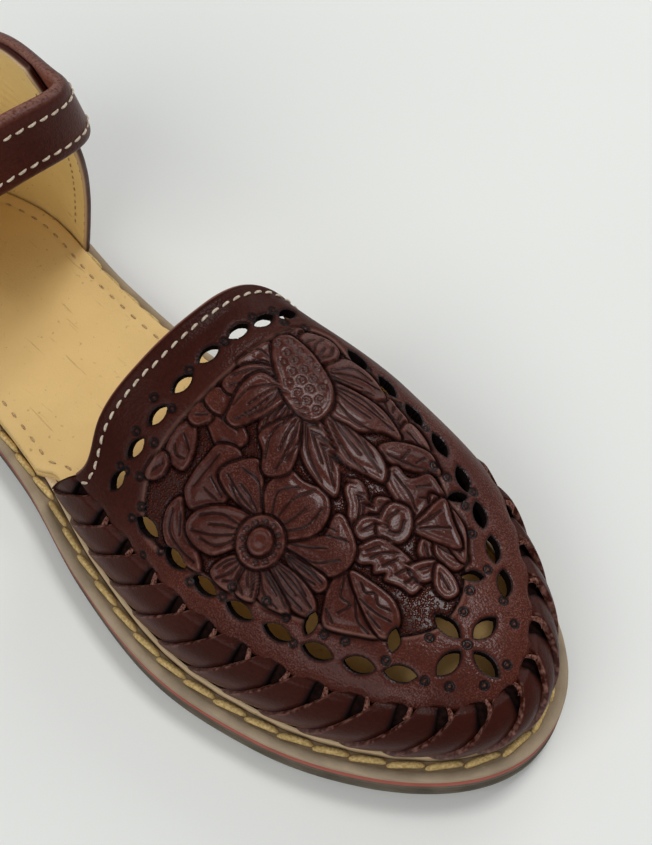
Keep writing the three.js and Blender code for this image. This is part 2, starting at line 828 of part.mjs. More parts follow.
const leather = 0x4c2620;
const brass = 0x9a8355;
addPiece('outsole', outsoleMesh(), 0x6d5f50, 0.7);
addPiece('sole_stripe', stripeMesh(), 0xa0504a, 0.6);
addPiece('midsole', midsoleMesh(), 0x96826e, 0.65);
addPiece('insole', insoleMesh(), 0xcdaf78, 0.6);
addPiece('upper', upperMesh(), leather, 0.45);
addPiece('heel_counter', counterMesh(), leather, 0.5);
addPiece('ankle_strap', strapMesh(), leather, 0.5);
addPiece('buckle_frame', frameMesh(), brass, 0.35, 1);
addPiece('buckle_prong', prongMesh(), brass, 0.35, 1);

// Origin on the floor at the middle of the whole sandal's length and width
const middle = new THREE.Box3().setFromObject(sandal).getCenter(new THREE.Vector3());
for (const mesh of sandal.children) {
  mesh.geometry.translate(-middle.x, -middle.y, 0);
}

export default sandal;
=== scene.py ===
"""Looks of the huarache sandal: tooled and pierced leather, braided border, stitches and layered sole."""

import math

import bpy
import numpy as np
from mathutils import Matrix, Vector


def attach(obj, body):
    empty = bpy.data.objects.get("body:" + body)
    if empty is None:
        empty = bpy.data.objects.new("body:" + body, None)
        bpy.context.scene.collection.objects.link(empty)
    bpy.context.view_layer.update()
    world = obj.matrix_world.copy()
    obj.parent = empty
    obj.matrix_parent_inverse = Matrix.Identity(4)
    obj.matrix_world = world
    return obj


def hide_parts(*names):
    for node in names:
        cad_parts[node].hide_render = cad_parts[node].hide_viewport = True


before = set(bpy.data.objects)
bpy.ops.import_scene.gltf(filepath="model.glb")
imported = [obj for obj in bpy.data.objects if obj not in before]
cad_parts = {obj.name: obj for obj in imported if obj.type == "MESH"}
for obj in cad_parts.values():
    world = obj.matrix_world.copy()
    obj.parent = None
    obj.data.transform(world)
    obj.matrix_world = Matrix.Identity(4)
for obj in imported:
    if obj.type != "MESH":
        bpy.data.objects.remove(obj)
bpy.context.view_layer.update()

MM = 0.001
QUARTER = math.pi / 2
FULL_TURN = 2 * math.pi
SKYWARD = np.array([0.0, 0.0, 1.0])

# Driving sizes of the shoe in millimetres, as in the part: +X to the toe, +Y to the inner side
SOLE_LENGTH = 262
BALL_WIDTH = 92
HEEL_WIDTH = 63
SOLE_HEIGHT = 10.4
INSTEP_HEIGHT = 58.5
COUNTER_HEIGHT = 98
TOE_SWING = 4.7
TOE_SWING_START = 0.8
TOE_SPRING = 5.5
TOE_SPRING_START = 0.7
ARCH_LIFT = 1.8
UPPER_BASE = SOLE_HEIGHT + 0.3

# Half widths of the sole as shares of the ball width, by share of its length from the heel
SOLE_SHARES = (0, 0.03, 0.08, 0.18, 0.3, 0.42, 0.55, 0.68, 0.8, 0.9, 0.96, 1)
SOLE_OUTER = (0, 0.185, 0.272, 0.342, 0.35, 0.39, 0.48, 0.518, 0.453, 0.336, 0.22, 0)
SOLE_INNER = (0, 0.186, 0.268, 0.341, 0.311, 0.309, 0.359, 0.478, 0.509, 0.407, 0.275, 0)
ARCH_SHARES = (0, 0.32, 0.45, 0.58, 1)
ARCH_SHAPE = (0, 0, 1, 0, 0)

# Upper: ridge, fullness and bulge of its sides by share of the length
FEATHER_INSET = 4.6
WALL = 2.3
RIDGE_REACH = 0.815
UPPER_SHARES = (0.5, 0.61, 0.73, 0.84, 0.96)
RIDGE_HEIGHT = (1, 0.915, 0.795, 0.675, 0.59)
RIDGE_SIDE = (0.207, 0.179, 0.13, 0.076, 0.054)
FULL_OUTER = (0.92, 1, 0.92, 0.78, 0.6)
FULL_INNER = (0.75, 0.6, 0.55, 0.58, 0.6)
BULGE_OUTER = (-0.029, -0.04, -0.017, 0.013, 0.033)
BULGE_INNER = (0.163, 0.152, 0.105, 0.076, 0.033)

# Throat edge: place along the shoe as a share of its length, by share of the turn up to the ridge
THROAT_TURNS = (0, 0.16, 0.34, 0.5, 0.75, 1)
THROAT_OUTER = (-0.046, -0.021, 0.008, -0.003, -0.002, 0)
THROAT_INNER = (0.046, 0.046, 0.042, 0.027, 0.006, 0)

# Braided border
BORDER_HEIGHT = 20.5
BAND_PITCH = 11.1
BAND_OVERLAP = 0.7
BAND_LEAN = 20
LEAN_LOST = 0.92
LEAN_FADE_START = 0.77

# Lens-shaped holes: (start, end) as shares of the border's length, (start, end) of the rise over the
# surface as shares of the instep height, count, whether they point up the surface, share of full size
LENS_LENGTH = 8.4
LENS_WIDTH = 4.2
LENS_ROWS = (
    ((0.14, 0.424), (0.482, 0.482), 8, False, 0.95),
    ((0.658, 0.897), (0.484, 0.706), 8, False, 0.9),
    ((0.089, 0.089), (0.53, 1.222), 5, True, 0.8),
    ((0.992, 0.976), (1.077, 0.812), 3, True, 0.8),
    ((0.327, 0.411), (0.579, 0.615), 2, True, 0.72),
    ((0.666, 0.745), (0.622, 0.632), 2, True, 0.66),
)
CROSS_ALONG = 0.405
CROSS_SIDE = 0.054
CROSS_REACH = 6.3
CROSS_SIZE = 0.95

# Heel counter by share of its height: leans inward by shares of the heel width, front edge
COUNTER_WALL = 2.3
COUNTER_INSET = 1.6
COUNTER_SHARES = (0.1, 0.255, 0.41, 0.56, 0.69, 0.82, 0.92, 1)
COUNTER_LEAN = (0, -0.016, -0.024, -0.011, 0.017, 0.049, 0.078, 0.1)
COUNTER_HEEL_LEAN = (0, 0.003, 0.013, 0.03, 0.05, 0.07, 0.083, 0.09)
COUNTER_FRONT = (0.235, 0.248, 0.261, 0.275, 0.284, 0.277, 0.26, 0.233)
COUNTER_BELOW_STRAP = 1.2

# Ankle strap
STRAP_WIDTH = 20
STRAP_THICK = 3.2
STRAP_HEEL_HEIGHT = 0.592
STRAP_SLOPE = 0.27
STRAP_HEEL_INSET = 6
STRAP_GAP = 0.5
STRAP_JOIN = 0.2825
STRAP_REACH_BOTTOM = 9.5
STRAP_REACH_TOP = 6.5
STRAP_ROUND = 0.78
STRAP_START = 0.18
STRAP_END = 0.05
STRAP_RISE_FROM = 0.225
STRAP_RISE_TO = 0.191
STRAP_LAP_GAP = 0.6

# Camera, seen from above the outer toe side, as a place round a point on the shoe
CAMERA_AZIMUTH = -42.62
CAMERA_ELEVATION = 57.58
CAMERA_ROLL = -2.04
CAMERA_DISTANCE = 411.7
CAMERA_TARGET = (30.5, 31.2, 20.0)
CAMERA_LENS = 64.4
CAMERA_SENSOR = 36.0


def lerp(first, second, share):
    return first + (second - first) * share


def step(value, low, high):
    """Smooth rise from 0 at low to 1 at high."""
    t = np.clip((value - low) / (high - low), 0, 1)
    return t * t * (3 - 2 * t)


def bell(value, middle, width):
    """1 at the middle, fading to 0 on both sides of it."""
    return np.exp(-((value - middle) / width) ** 2)


def unit(vectors):
    return vectors / np.linalg.norm(vectors, axis=-1, keepdims=True)


def smooth(keys, values):
    """Smooth curve through the values at the keys, the same as the part's."""
    keys = np.array(keys, float)
    values = np.array(values, float)
    gap = np.diff(keys)
    rise = np.diff(values) / gap
    slope = np.empty(len(keys))
    slope[1:-1] = (rise[:-1] * gap[1:] + rise[1:] * gap[:-1]) / (gap[1:] + gap[:-1])
    slope[0] = rise[0] * 1.5 - slope[1] * 0.5
    slope[-1] = rise[-1] * 1.5 - slope[-2] * 0.5

    def curve(key):
        k = np.clip(key, keys[0], keys[-1])
        i = np.clip(np.searchsorted(keys, k, side="right") - 1, 0, len(gap) - 1)
        t = (k - keys[i]) / gap[i]
        u = 1 - t
        ends = u * u * (1 + 2 * t) * values[i] + t * t * (3 - 2 * t) * values[i + 1]
        return ends + gap[i] * t * u * (u * slope[i] - t * slope[i + 1])

    return curve


def sole_x(share):
    return (np.asarray(share) - 0.5) * SOLE_LENGTH


def turn_of_share(share):
    return np.arccos(1 - 2 * np.asarray(share, float))


# Outline of the sole by an angle that starts at the heel and turns over the outer side
outer_half = smooth(turn_of_share(SOLE_SHARES), np.array(SOLE_OUTER) * BALL_WIDTH)
inner_half = smooth(turn_of_share(SOLE_SHARES), np.array(SOLE_INNER) * BALL_WIDTH)
arch_shape = smooth(sole_x(ARCH_SHARES), np.array(ARCH_SHAPE) * ARCH_LIFT)


def outline(angle):
    a = np.mod(angle, FULL_TURN)
    inner = a > math.pi
    turn = np.where(inner, FULL_TURN - a, a)
    share = (1 - np.cos(turn)) / 2
    swing = TOE_SWING * np.maximum((share - TOE_SWING_START) / (1 - TOE_SWING_START), 0) ** 2
    half = np.where(inner, inner_half(turn), -outer_half(turn))
    return np.stack([sole_x(share), half + swing], -1)


def outward(angle):
    step_size = 2e-3
    along = unit(outline(angle + step_size) - outline(angle - step_size))
    return np.stack([along[..., 1], -along[..., 0]], -1)


def inset_outline(angle, inset):
    return outline(angle) - outward(angle) * np.asarray(inset, float)[..., None]


def spring(x):
    share = x / SOLE_LENGTH + 0.5
    return TOE_SPRING * np.maximum((share - TOE_SPRING_START) / (1 - TOE_SPRING_START), 0) ** 2


def arch(x):
    return np.maximum(arch_shape(x), 0)


# Surface of the upper by angle round the sole and turn from the feather line up to the ridge
RISE_STEPS = 32
upper_x = sole_x(UPPER_SHARES)
ridge_height = smooth(upper_x, np.array(RIDGE_HEIGHT) * INSTEP_HEIGHT)
ridge_side = smooth(upper_x, np.array(RIDGE_SIDE) * BALL_WIDTH)
full_outer = smooth(upper_x, FULL_OUTER)
full_inner = smooth(upper_x, FULL_INNER)
bulge_outer = smooth(upper_x, np.array(BULGE_OUTER) * BALL_WIDTH)
bulge_inner = smooth(upper_x, np.array(BULGE_INNER) * BALL_WIDTH)
throat_outer = smooth(THROAT_TURNS, np.array(THROAT_OUTER) * SOLE_LENGTH)
throat_inner = smooth(THROAT_TURNS, np.array(THROAT_INNER) * SOLE_LENGTH)


def upper_point(angle, turn):
    angle, turn = np.broadcast_arrays(np.asarray(angle, float), np.asarray(turn, float))
    out = outward(angle)
    foot = inset_outline(angle, FEATHER_INSET)
    foot_x = foot[..., 0]
    inner = np.mod(angle, FULL_TURN) > math.pi
    bulge = np.where(inner, bulge_inner(foot_x), bulge_outer(foot_x)) * np.sin(2 * turn)
    full = np.where(inner, full_inner(foot_x), full_outer(foot_x))
    reach = np.maximum(np.cos(turn), 0) ** full
    ridge_x = foot_x * RIDGE_REACH
    side = ridge_side(ridge_x)
    x = ridge_x + (foot_x - ridge_x) * reach + out[..., 0] * bulge
    y = side + (foot[..., 1] - side) * reach + out[..., 1] * bulge
    base = UPPER_BASE + spring(foot_x)
    return np.stack([x, y, base + (ridge_height(x) - base) * np.sin(turn)], -1)


def upper_normal(angle, turn):
    step_size = 1e-3
    t = np.clip(turn, step_size, QUARTER - step_size)
    along = upper_point(angle + step_size, t) - upper_point(angle - step_size, t)
    up = upper_point(angle, t + step_size) - upper_point(angle, t - step_size)
    return unit(np.cross(along, up))


def turn_at_rise(angle, rise):
    """Turn at which the surface above an angle has risen by a distance from the feather line."""
    angle, rise = np.broadcast_arrays(np.asarray(angle, float), np.asarray(rise, float))
    turns = np.linspace(0, QUARTER, RISE_STEPS + 1)
    points = upper_point(angle[..., None], turns)
    steps = np.linalg.norm(np.diff(points, axis=-2), axis=-1)
    risen = np.concatenate([np.zeros((*angle.shape, 1)), np.cumsum(steps, -1)], -1)
    i = np.clip((risen < rise[..., None]).sum(-1) - 1, 0, RISE_STEPS - 1)
    low = np.take_along_axis(risen, i[..., None], -1)[..., 0]
    high = np.take_along_axis(risen, i[..., None] + 1, -1)[..., 0]
    return lerp(turns[i], turns[i + 1], (rise - low) / (high - low))


THROAT_ANGLES = (1.0, 2.2)
HALVINGS = 30

# Where the throat edge and a rise depend on each other, both are worked out in turn from a first guess
FIRST_TURN = 0.2
SETTLING_ROUNDS = 4


def throat_angle(inner, turn):
    """Angle at which the throat edge crosses a turn, on the outer or the inner side."""
    turn = np.asarray(turn, float)
    place = (throat_inner if inner else throat_outer)(turn / QUARTER)
    low, high = (np.full(turn.shape, angle) for angle in THROAT_ANGLES)
    for _ in range(HALVINGS):
        mid = (low + high) / 2
        x = upper_point(FULL_TURN - mid if inner else mid, np.minimum(turn, QUARTER - 1e-6))[..., 0]
        low = np.where(x < place, mid, low)
        high = np.where(x < place, high, mid)
    return FULL_TURN - low if inner else low


# Distances round the feather line, from the outer to the inner foot of the throat edge
AROUND_FROM = 0.8
AROUND_POINTS = 401
around_angles = np.linspace(AROUND_FROM, FULL_TURN - AROUND_FROM, AROUND_POINTS)
around_steps = np.linalg.norm(np.diff(inset_outline(around_angles, FEATHER_INSET), axis=0), axis=-1)
around_lengths = np.concatenate([[0], np.cumsum(around_steps)])
border_start, border_end = (
    np.interp(throat_angle(side, 0.0), around_angles, around_lengths) for side in (False, True)
)
BORDER_LENGTH = border_end - border_start
BAND_COUNT = round((BORDER_LENGTH - BAND_OVERLAP) / BAND_PITCH)


def angle_at(around):
    return np.interp(np.asarray(around) + border_start, around_lengths, around_angles)


def around_at(angle):
    return np.interp(angle, around_angles, around_lengths) - border_start


def at_rise(around, rise, offset=0.0):
    """Point on the upper by distance round it and up it, lifted off by an offset."""
    angle = angle_at(around)
    turn = turn_at_rise(angle, rise)
    return upper_point(angle, turn) + upper_normal(angle, turn) * np.asarray(offset, float)[..., None]


def lean_at(around):
    fade = step(around, LEAN_FADE_START * BORDER_LENGTH, BORDER_LENGTH - BAND_PITCH)
    return BAND_LEAN * (1 - LEAN_LOST * fade)


def surface_frame(around, rise):
    """Centre, direction along, direction up and outward direction at a place on the upper."""
    angle = angle_at(around)
    out = upper_normal(angle, turn_at_rise(angle, rise))
    along = at_rise(around + 0.5, rise) - at_rise(around - 0.5, rise)
    right = unit(along - out * (along @ out))
    return at_rise(around, rise), right, np.cross(out, right), out


# Meshes. Added to a point on the sole's own axes, ORIGIN gives it on the frame's axes, whose zero is
# the middle of the whole sandal
ORIGIN = np.array([0.302, -0.692, 0.0])


def grid_faces(rows, columns, closed=False):
    """Quads of a grid of points numbered row by row; a closed grid joins its last column to its first."""
    last = columns if closed else columns - 1
    row, column = np.meshgrid(np.arange(rows - 1), np.arange(last), indexing="ij")
    after = (column + 1) % columns
    corners = (row * columns + column, row * columns + after,
               (row + 1) * columns + after, (row + 1) * columns + column)
    return np.stack(corners, -1).reshape(-1, 4)


def grid_normals(points):
    return unit(np.cross(np.gradient(points, axis=1), np.gradient(points, axis=0)) + 1e-12)


def make_piece(name, points, faces, material, replaces=(), looks=None, normals=None):
    """A piece of the sandal from points in the part's millimetres, riding with the one body."""
    points = np.asarray(points, float).reshape(-1, 3)
    mesh = bpy.data.meshes.new(name)
    mesh.from_pydata(((points + ORIGIN) * MM).tolist(), [], np.asarray(faces).tolist())
    mesh.polygons.foreach_set("use_smooth", [True] * len(mesh.polygons))
    for key, values in (looks or {}).items():
        mesh.attributes.new(key, "FLOAT", "POINT").data.foreach_set("value", np.ravel(values))
    if normals is not None:
        mesh.normals_split_custom_set_from_vertices(np.reshape(normals, (-1, 3)).tolist())
    mesh.materials.append(material)
    piece = bpy.data.objects.new(name, mesh)
    bpy.context.scene.collection.objects.link(piece)
    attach(piece, "root")
    if replaces:
        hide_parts(replaces)


def boundary_edges(faces, count):
    """Edges that only one of the faces has."""
    edges = np.concatenate([faces[:, [i, (i + 1) % 4]] for i in range(4)])
    key = edges.min(1) * count + edges.max(1)
    _, first, uses = np.unique(key, return_index=True, return_counts=True)
    return edges[first[uses == 1]]


def edge_walls(points, normals, edges, depth):
    """Walls that hang from edges into the leather."""
    used, index = np.unique(edges, return_inverse=True)
    ends = index.reshape(-1, 2)
    top = points[used]
    low = top - normals[used] * depth
    return np.concatenate([top, low]), np.column_stack([ends[:, ::-1], ends + len(used)])


def joined(parts):
    """One set of points and faces from several."""
    points = []
    faces = []
    start = 0
    for part_points, part_faces in parts:
        points.append(part_points.reshape(-1, 3))
        faces.append(part_faces + start)
        start += len(points[-1])
    return np.concatenate(points), np.concatenate(faces)


def along_path(path, pitch):
    """Places at an even pitch on a path, as indexes of its points with fractions."""
    lengths = np.concatenate([[0], np.cumsum(np.linalg.norm(np.diff(path, axis=0), axis=-1))])
    places = np.arange(pitch / 2, lengths[-1] - pitch / 2 + 1e-6, pitch)
    return np.interp(places, lengths, np.arange(len(path)))


def at_index(values, index):
    """Values of a path between its points."""
    low = np.clip(index.astype(int), 0, len(values) - 2)
    share = (index - low)[:, None]
    return values[low] * (1 - share) + values[low + 1] * share


# Stitches of each seam as (pitch, length, width, height)
THROAT_STITCH = (3.5, 2.5, 0.8, 0.7)
STRAP_STITCH = (3.5, 2.6, 0.75, 0.65)
SOLE_STITCH = (9.4, 9.6, 1.8, 1.7)
INSOLE_STITCH = (5.0, 2.6, 0.7, 0.6)
LINING_STITCH = (3.4, 2.0, 0.5, 0.5)
STITCH_SIDES = 8
STITCH_RINGS = 9


def stitch_row(path, outs, pitch, length, width, height, twist=0.0, sink=0.25, blunt=3.2):
    """Stitches along a path, each a flattened bead that dives into the leather at both ends."""
    index = along_path(path, pitch)
    centre = at_index(path, index)
    out = unit(at_index(outs, index))
    ahead = unit(at_index(path, index + 0.2) - at_index(path, index - 0.2))
    side = unit(np.cross(out, ahead))
    ahead, side = (ahead * math.cos(twist) + side * math.sin(twist),
                   side * math.cos(twist) - ahead * math.sin(twist))
    t = np.sin(np.linspace(-QUARTER, QUARTER, STITCH_RINGS))
    fat = np.maximum(1 - np.abs(t) ** blunt, 0.02) ** 0.5
    turn = np.linspace(0, FULL_TURN, STITCH_SIDES, endpoint=False)
    a = (t * length / 2)[:, None] * np.ones(STITCH_SIDES)
    b = fat[:, None] * np.cos(turn) * width / 2
    c = fat[:, None] * (np.sin(turn) + 1 - 2 * sink) * height / 2 - (np.abs(t) ** 3)[:, None] * height * 0.4
    shape = (a[..., None] * ahead[:, None, None] + b[..., None] * side[:, None, None]
             + c[..., None] * out[:, None, None])
    points = centre[:, None, None] + shape
    faces = grid_faces(STITCH_RINGS, STITCH_SIDES, closed=True)
    return joined([(one, faces) for one in points])


# Curves and distances in plan
CURVE_STEPS = 6


def closed_curve(points, steps=CURVE_STEPS):
    """Smooth closed curve through points, with a number of steps from each to the next."""
    p = np.array(points, float)
    t = np.linspace(0, 1, steps, endpoint=False)[:, None]
    return np.concatenate([spline_part(p, i, t) for i in range(len(p))])


def open_curve(points):
    """Smooth open curve through points; two points are a straight line."""
    p = np.array(points, float)
    if len(p) == 2:
        return p
    p = np.concatenate([[2 * p[0] - p[1]], p, [2 * p[-1] - p[-2]]])
    t = np.linspace(0, 1, CURVE_STEPS, endpoint=False)[:, None]
    parts = [spline_part(p, i, t) for i in range(1, len(p) - 2)]
    return np.concatenate([*parts, p[-2:-1]])


def spline_part(p, i, t):
    """Catmull-Rom curve from one of the points to the next."""
    a, b, c, d = (p[(i + k) % len(p)] for k in (-1, 0, 1, 2))
    return b + 0.5 * t * (c - a + t * (2 * a - 5 * b + 4 * c - d + t * (3 * (b - c) + d - a)))


def path_distance(points, path):
    nearest = np.full(len(points), 1e9)
    for start, end in zip(path[:-1], path[1:]):
        edge = end - start
        t = np.clip(((points - start) @ edge) / max(edge @ edge, 1e-9), 0, 1)
        nearest = np.minimum(nearest, np.linalg.norm(points - start - t[:, None] * edge, axis=1))
    return nearest


def inside_distance(points, shape):
    """Distance from a closed shape's outline, more than zero inside it."""
    ring = np.concatenate([shape, shape[:1]])
    inside = np.zeros(len(points), bool)
    x, y = points.T
    for (ax, ay), (bx, by) in zip(ring[:-1], ring[1:]):
        if ay == by:
            continue
        crosses = (ay > y) != (by > y)
        inside ^= crosses & (x < (bx - ax) * (y - ay) / (by - ay) + ax)
    return path_distance(points, ring) * np.where(inside, 1, -1)


# Tooled panel of the vamp in plan, in millimetres of the shoe: a window in the top leather with
# petals and leaves, each an outline and its veins, the later ones over the earlier ones
PANEL = ((18.6, -12), (18.6, 0), (18.6, 13), (18.6, 25), (20, 33), (25.5, 38.2), (31, 37.8), (46, 37),
         (58, 35.7), (66, 33.9), (71.3, 31.4), (77.4, 28.6), (82.8, 27), (88, 23.5), (93.7, 17.4),
         (97.4, 11.6), (98.6, 3.5), (95.3, -3.5), (91, -7.9), (86.5, -11.6), (78, -16.5), (73, -19),
         (62.3, -23.1), (55.1, -25.3), (46.5, -27.2), (34.4, -29.4), (27, -28.5), (21, -21))

UNDER_LEAVES = (
    (((19.1, 1.1), (24.1, 4.2), (29.9, 3.4), (34.5, 1.5), (33.5, -2.5), (29.9, -4.7), (25.4, -3.2), (21, -1)),
     (((21, 1), (26, 0.6), (31, 1.4)),)),
    (((47, 32.5), (48.6, 37), (52.5, 36.8), (56.7, 36), (59, 31.5), (54.6, 30.5), (51, 30.5)),
     (((49, 35), (52, 33.6), (56, 33.4)), ((51, 36.4), (52.4, 34.4)), ((54, 36), (55, 33.6)))),
    (((57.6, 31.5), (56.7, 36), (61, 36.4), (65.4, 34.6), (63.7, 31), (60, 29.4)),
     (((58.6, 33.6), (61.4, 33.4), (64, 33.4)),)),
    (((57, 24.8), (59.1, 29.6), (65.1, 34), (69.5, 33.2), (71.4, 31.7), (67, 27), (61.6, 23.9)),
     (((60, 25), (66, 27.8), (70.7, 31.7)), ((63, 27), (62.4, 30.4)), ((66, 29), (66.4, 32)))),
    (((62.7, 21.6), (63.8, 24.6), (67.9, 24.8), (69.9, 29.6), (74, 29.4), (77.4, 28.2), (78.1, 25.6),
      (75.7, 22.9), (76.4, 18.7), (72.3, 17.7), (68.2, 18.3), (64.8, 19.4)),
     (((65, 22.4), (70.4, 21.8), (74.6, 20)), ((70.6, 24.4), (72.4, 27.6)), ((73, 23), (75.6, 26)))),
    (((66, 14.2), (68.4, 17), (71.8, 16), (72.8, 13), (69.7, 10.6)), (((67.6, 14.4), (71, 13.6)),)),
    (((80.5, 16), (82.4, 17), (86, 15.6), (86.6, 12.4), (82.5, 12.6)), (((82, 15.4), (85.2, 13.6)),)),
    (((83.3, 17.9), (86.4, 20), (88.1, 22.7), (91.6, 20.6), (91.4, 16.4), (86, 15.4)),
     (((84.6, 17.6), (88, 18.6), (90.4, 19.6)),)),
    (((74, 26), (79, 27.6), (84.8, 26.6), (88.6, 23.5), (91.5, 19.6), (87, 19.5), (79, 22)),
     (((76, 25.4), (82, 23.6), (89, 20.6)), ((80, 26), (85, 23.8)))),
    (((77, 15.6), (76.6, 20), (76.6, 28), (82, 25.4), (88.4, 22), (84, 18.4)),
     (((77.6, 17), (78.6, 25)), ((78.5, 17.4), (83, 23.4)))),
    (((31, -18.5), (29.5, -21.9), (31.4, -25.8), (35.5, -28), (41.2, -28.3), (46.5, -27.2),
      (43.3, -24.8), (38.7, -23.8), (35, -21.6)),
     (((31, -21.6), (33.4, -25.2), (38.4, -26.6), (44, -26.6)), ((33.4, -21), (36.6, -24.6)))),
    (((36.3, -2.3), (30.2, -3.8), (29.4, -8.2), (29.7, -14.4), (30.6, -17), (34.5, -19), (37.8, -16.3),
      (41, -13.1)),
     (((34.3, -13.6), (38.9, -13.6)), ((33.9, -10.8), (39.4, -12.3)), ((31.8, -5.6), (32, -14.6)))),
    (((74.9, -3.2), (73.5, -7.7), (75.4, -12.3), (79.2, -16.2), (86.3, -12.3), (90.3, -8.8), (83.4, -7.3)),
     (((74.9, -5), (77.4, -8.8), (80.4, -8.6), (79.6, -12)), ((76.8, -13.2), (80, -14.4)),
      ((80, -6.6), (84, -9.8), (88, -10.2)))),
    (((74.9, -3.2), (79.6, -1.1), (86.6, -0.2), (91.2, -2.5), (92.4, -6.2), (90.3, -8.8), (83.4, -7.3)),
     (((78.6, -3), (81, -4), (82.7, -2.4), (85.1, -3.8), (88, -2.6)), ((81, -6), (86, -5.6), (90, -4.4)),
      ((84.6, -7), (89, -7.4)))),
)

SIDE_OUTER_PETALS = (
    ((58.5, -9.5), (60.5, -6.2), (64.4, -1.5), (62.7, 3.7), (64, 5.3), (66.8, 4.6), (71.3, 2.5), (73.5, -0.5),
     (73.8, -4.5), (71.9, -7.8), (67.3, -8.6), (63.2, -9.9)),
    ((60.6, -10.9), (66.5, -9.3), (71.8, -8.4), (73.5, -10), (72.5, -12.2), (68.5, -12.8), (64, -12.6)),
    ((59.4, -14.6), (64, -13), (70, -12.8), (74, -14), (76, -16.4), (73, -18.4), (68.5, -18.6), (62, -17)),
    ((58.6, -16.6), (62.5, -17.2), (69.5, -19), (70.5, -20.4), (64.5, -22.4), (60.4, -21.8), (57.6, -19)),
    ((55, -19), (54.4, -23.2), (57.7, -25.1), (61.8, -23.8), (60.9, -21.1), (58, -18.4)),
    ((51.7, -19.2), (49.3, -22.3), (48.8, -25.6), (52, -26.4), (56, -25.4), (54.8, -21.6), (54.4, -18.9)),
)

SUNFLOWER_PETALS = (
    ((19.1, 25.8), (22, 29.6), (21.4, 33.6), (19.6, 33), (18.9, 29)),
    ((18.4, 13.4), (18.2, 18), (18.8, 23.6), (21.4, 23), (24.6, 20), (23, 15.6)),
    ((27, 19.6), (22.4, 17.5), (19.7, 13.6), (19, 8.3), (20.2, 6.5), (23.4, 6.9), (26, 12)),
    ((34.1, 15.8), (33, 11.4), (33.4, 6.7), (35.4, 5), (37.2, 9), (38.2, 15)),
    ((36.6, 28.1), (39.3, 30), (43.8, 32.6), (46.5, 33), (48.2, 36.4), (42.3, 38.2), (36.4, 37.8),
     (33.4, 35.7), (33, 30.2)),
    ((30.5, 29.4), (32.6, 33), (31.4, 36.6), (27.9, 37.5), (24.6, 36.2), (21.8, 33), (24.4, 29.4)),
    ((44, 18.8), (49.8, 16.4), (54.6, 15), (61, 17.3), (64.5, 18.9), (62.3, 22.2), (57.4, 23.7),
     (51.6, 23.2), (43.6, 22.6)),
    ((43, 21.8), (48.3, 23), (51.4, 24.1), (54.9, 28.6), (59, 30.4), (56.8, 31.9), (50.4, 33),
     (43.3, 31.3), (36.8, 27.4)),
    ((39.8, 15.4), (45.1, 9.2), (51.6, 6.7), (59.4, 6.9), (57.3, 11), (53.5, 13.8), (45, 17.6), (41, 18)),
    ((38.4, 15), (35.3, 5.2), (39, 2.3), (42.1, -1), (44.3, -1.3), (46.4, 0.8), (47.3, 4), (44.9, 8.8),
     (40.4, 14)),
    ((29.6, 17.4), (24, 16), (23.2, 10.2), (25.7, 3.4), (26.6, 1.5), (29.9, 1.8), (32.4, 7.6),
     (33.4, 15.6)),
)
SEED_HEAD = ((19.1, 25.1), (20.3, 29.2), (25, 30.2), (30, 29.8), (37.3, 27.8), (40.8, 25.1), (42.5, 22),
             (42.6, 18.1), (40.7, 15.8), (37.1, 15.3), (32.5, 15.8), (28.1, 18.1), (23.2, 21))
SEED_PITCH = 3.3
SEED_RADIUS = 0.85

BUDS = (
    (((19.2, -11.8), (21.2, -14.5), (26.5, -14.4), (27.2, -11.9), (25.5, -8.2), (23, -5.4), (20.5, -4.4),
      (18.9, -7.2)),
     (((21, -11), (23, -12.6), (25.4, -12)), ((21, -8), (23.4, -9), (25, -10)))),
    (((18.9, -4.4), (18.9, -0.3), (22.3, 0.8), (24, -1.6), (22, -4.8)), (((20.2, -3), (22.4, -1)),)),
    (((18.9, -20), (19.4, -14.4), (22.6, -14.9), (23.4, -18), (21.4, -20.4)),
     (((20.4, -18.6), (21.6, -16)),)),
    (((19, 1.4), (19.2, 5.2), (22.6, 6.8), (25.4, 4.8), (25.2, 1.4), (22, 0.4)), ()),
)

RIGHT_SCROLLS = (
    (((59.5, 14.4), (63.3, 14.2), (67.2, 11), (69.4, 5.8), (66.3, 4.8), (63.2, 8), (59.4, 10.6)),
     (((61, 12.6), (64.6, 10.6), (67.4, 7)), ((63.4, 12.9), (66, 10.4), (67.6, 8.6)))),
    (((68.4, 4.6), (67.6, 8.7), (70.9, 12.4), (73, 9), (71.6, 4.8)), (((69.8, 6), (70.8, 10.4)),)),
    (((69.6, 13.8), (69.8, 17.2), (73.5, 19), (77, 16.4), (78.4, 12.6), (76.4, 9.2), (72.3, 8.8)),
     (((72, 16.6), (71.8, 13), (74, 11.2), (76, 13), (74.6, 16)),)),
    (((72, 1), (72.6, 5.3), (74, 8), (77.8, 9.6), (83, 10.1), (87.9, 8.9), (89, 6.6), (88.6, 4.1),
      (85.4, 3.4), (81.9, 1.6), (80.9, 3.4), (79.1, 0.9), (77.3, 2.3), (75, 0)),
     (((74, 3.4), (75.2, 6.6)), ((75.9, 2.9), (77, 6), (79, 8.6)), ((79.2, 3.8), (80.4, 7.6)),
      ((82.8, 4.6), (83.6, 8)), ((85.6, 4.9), (86.2, 7)))),
    (((83.6, 8.4), (84.9, 12.6), (87, 14.6), (89.4, 11.8), (88, 8)), (((85.6, 9.8), (86.8, 12.6)),)),
    (((87.6, 14.6), (92, 15), (95.7, 13.2), (95.1, 9.8), (91.7, 9.4), (88.9, 11.8)),
     (((89.6, 13), (93.8, 11.8)),)),
)

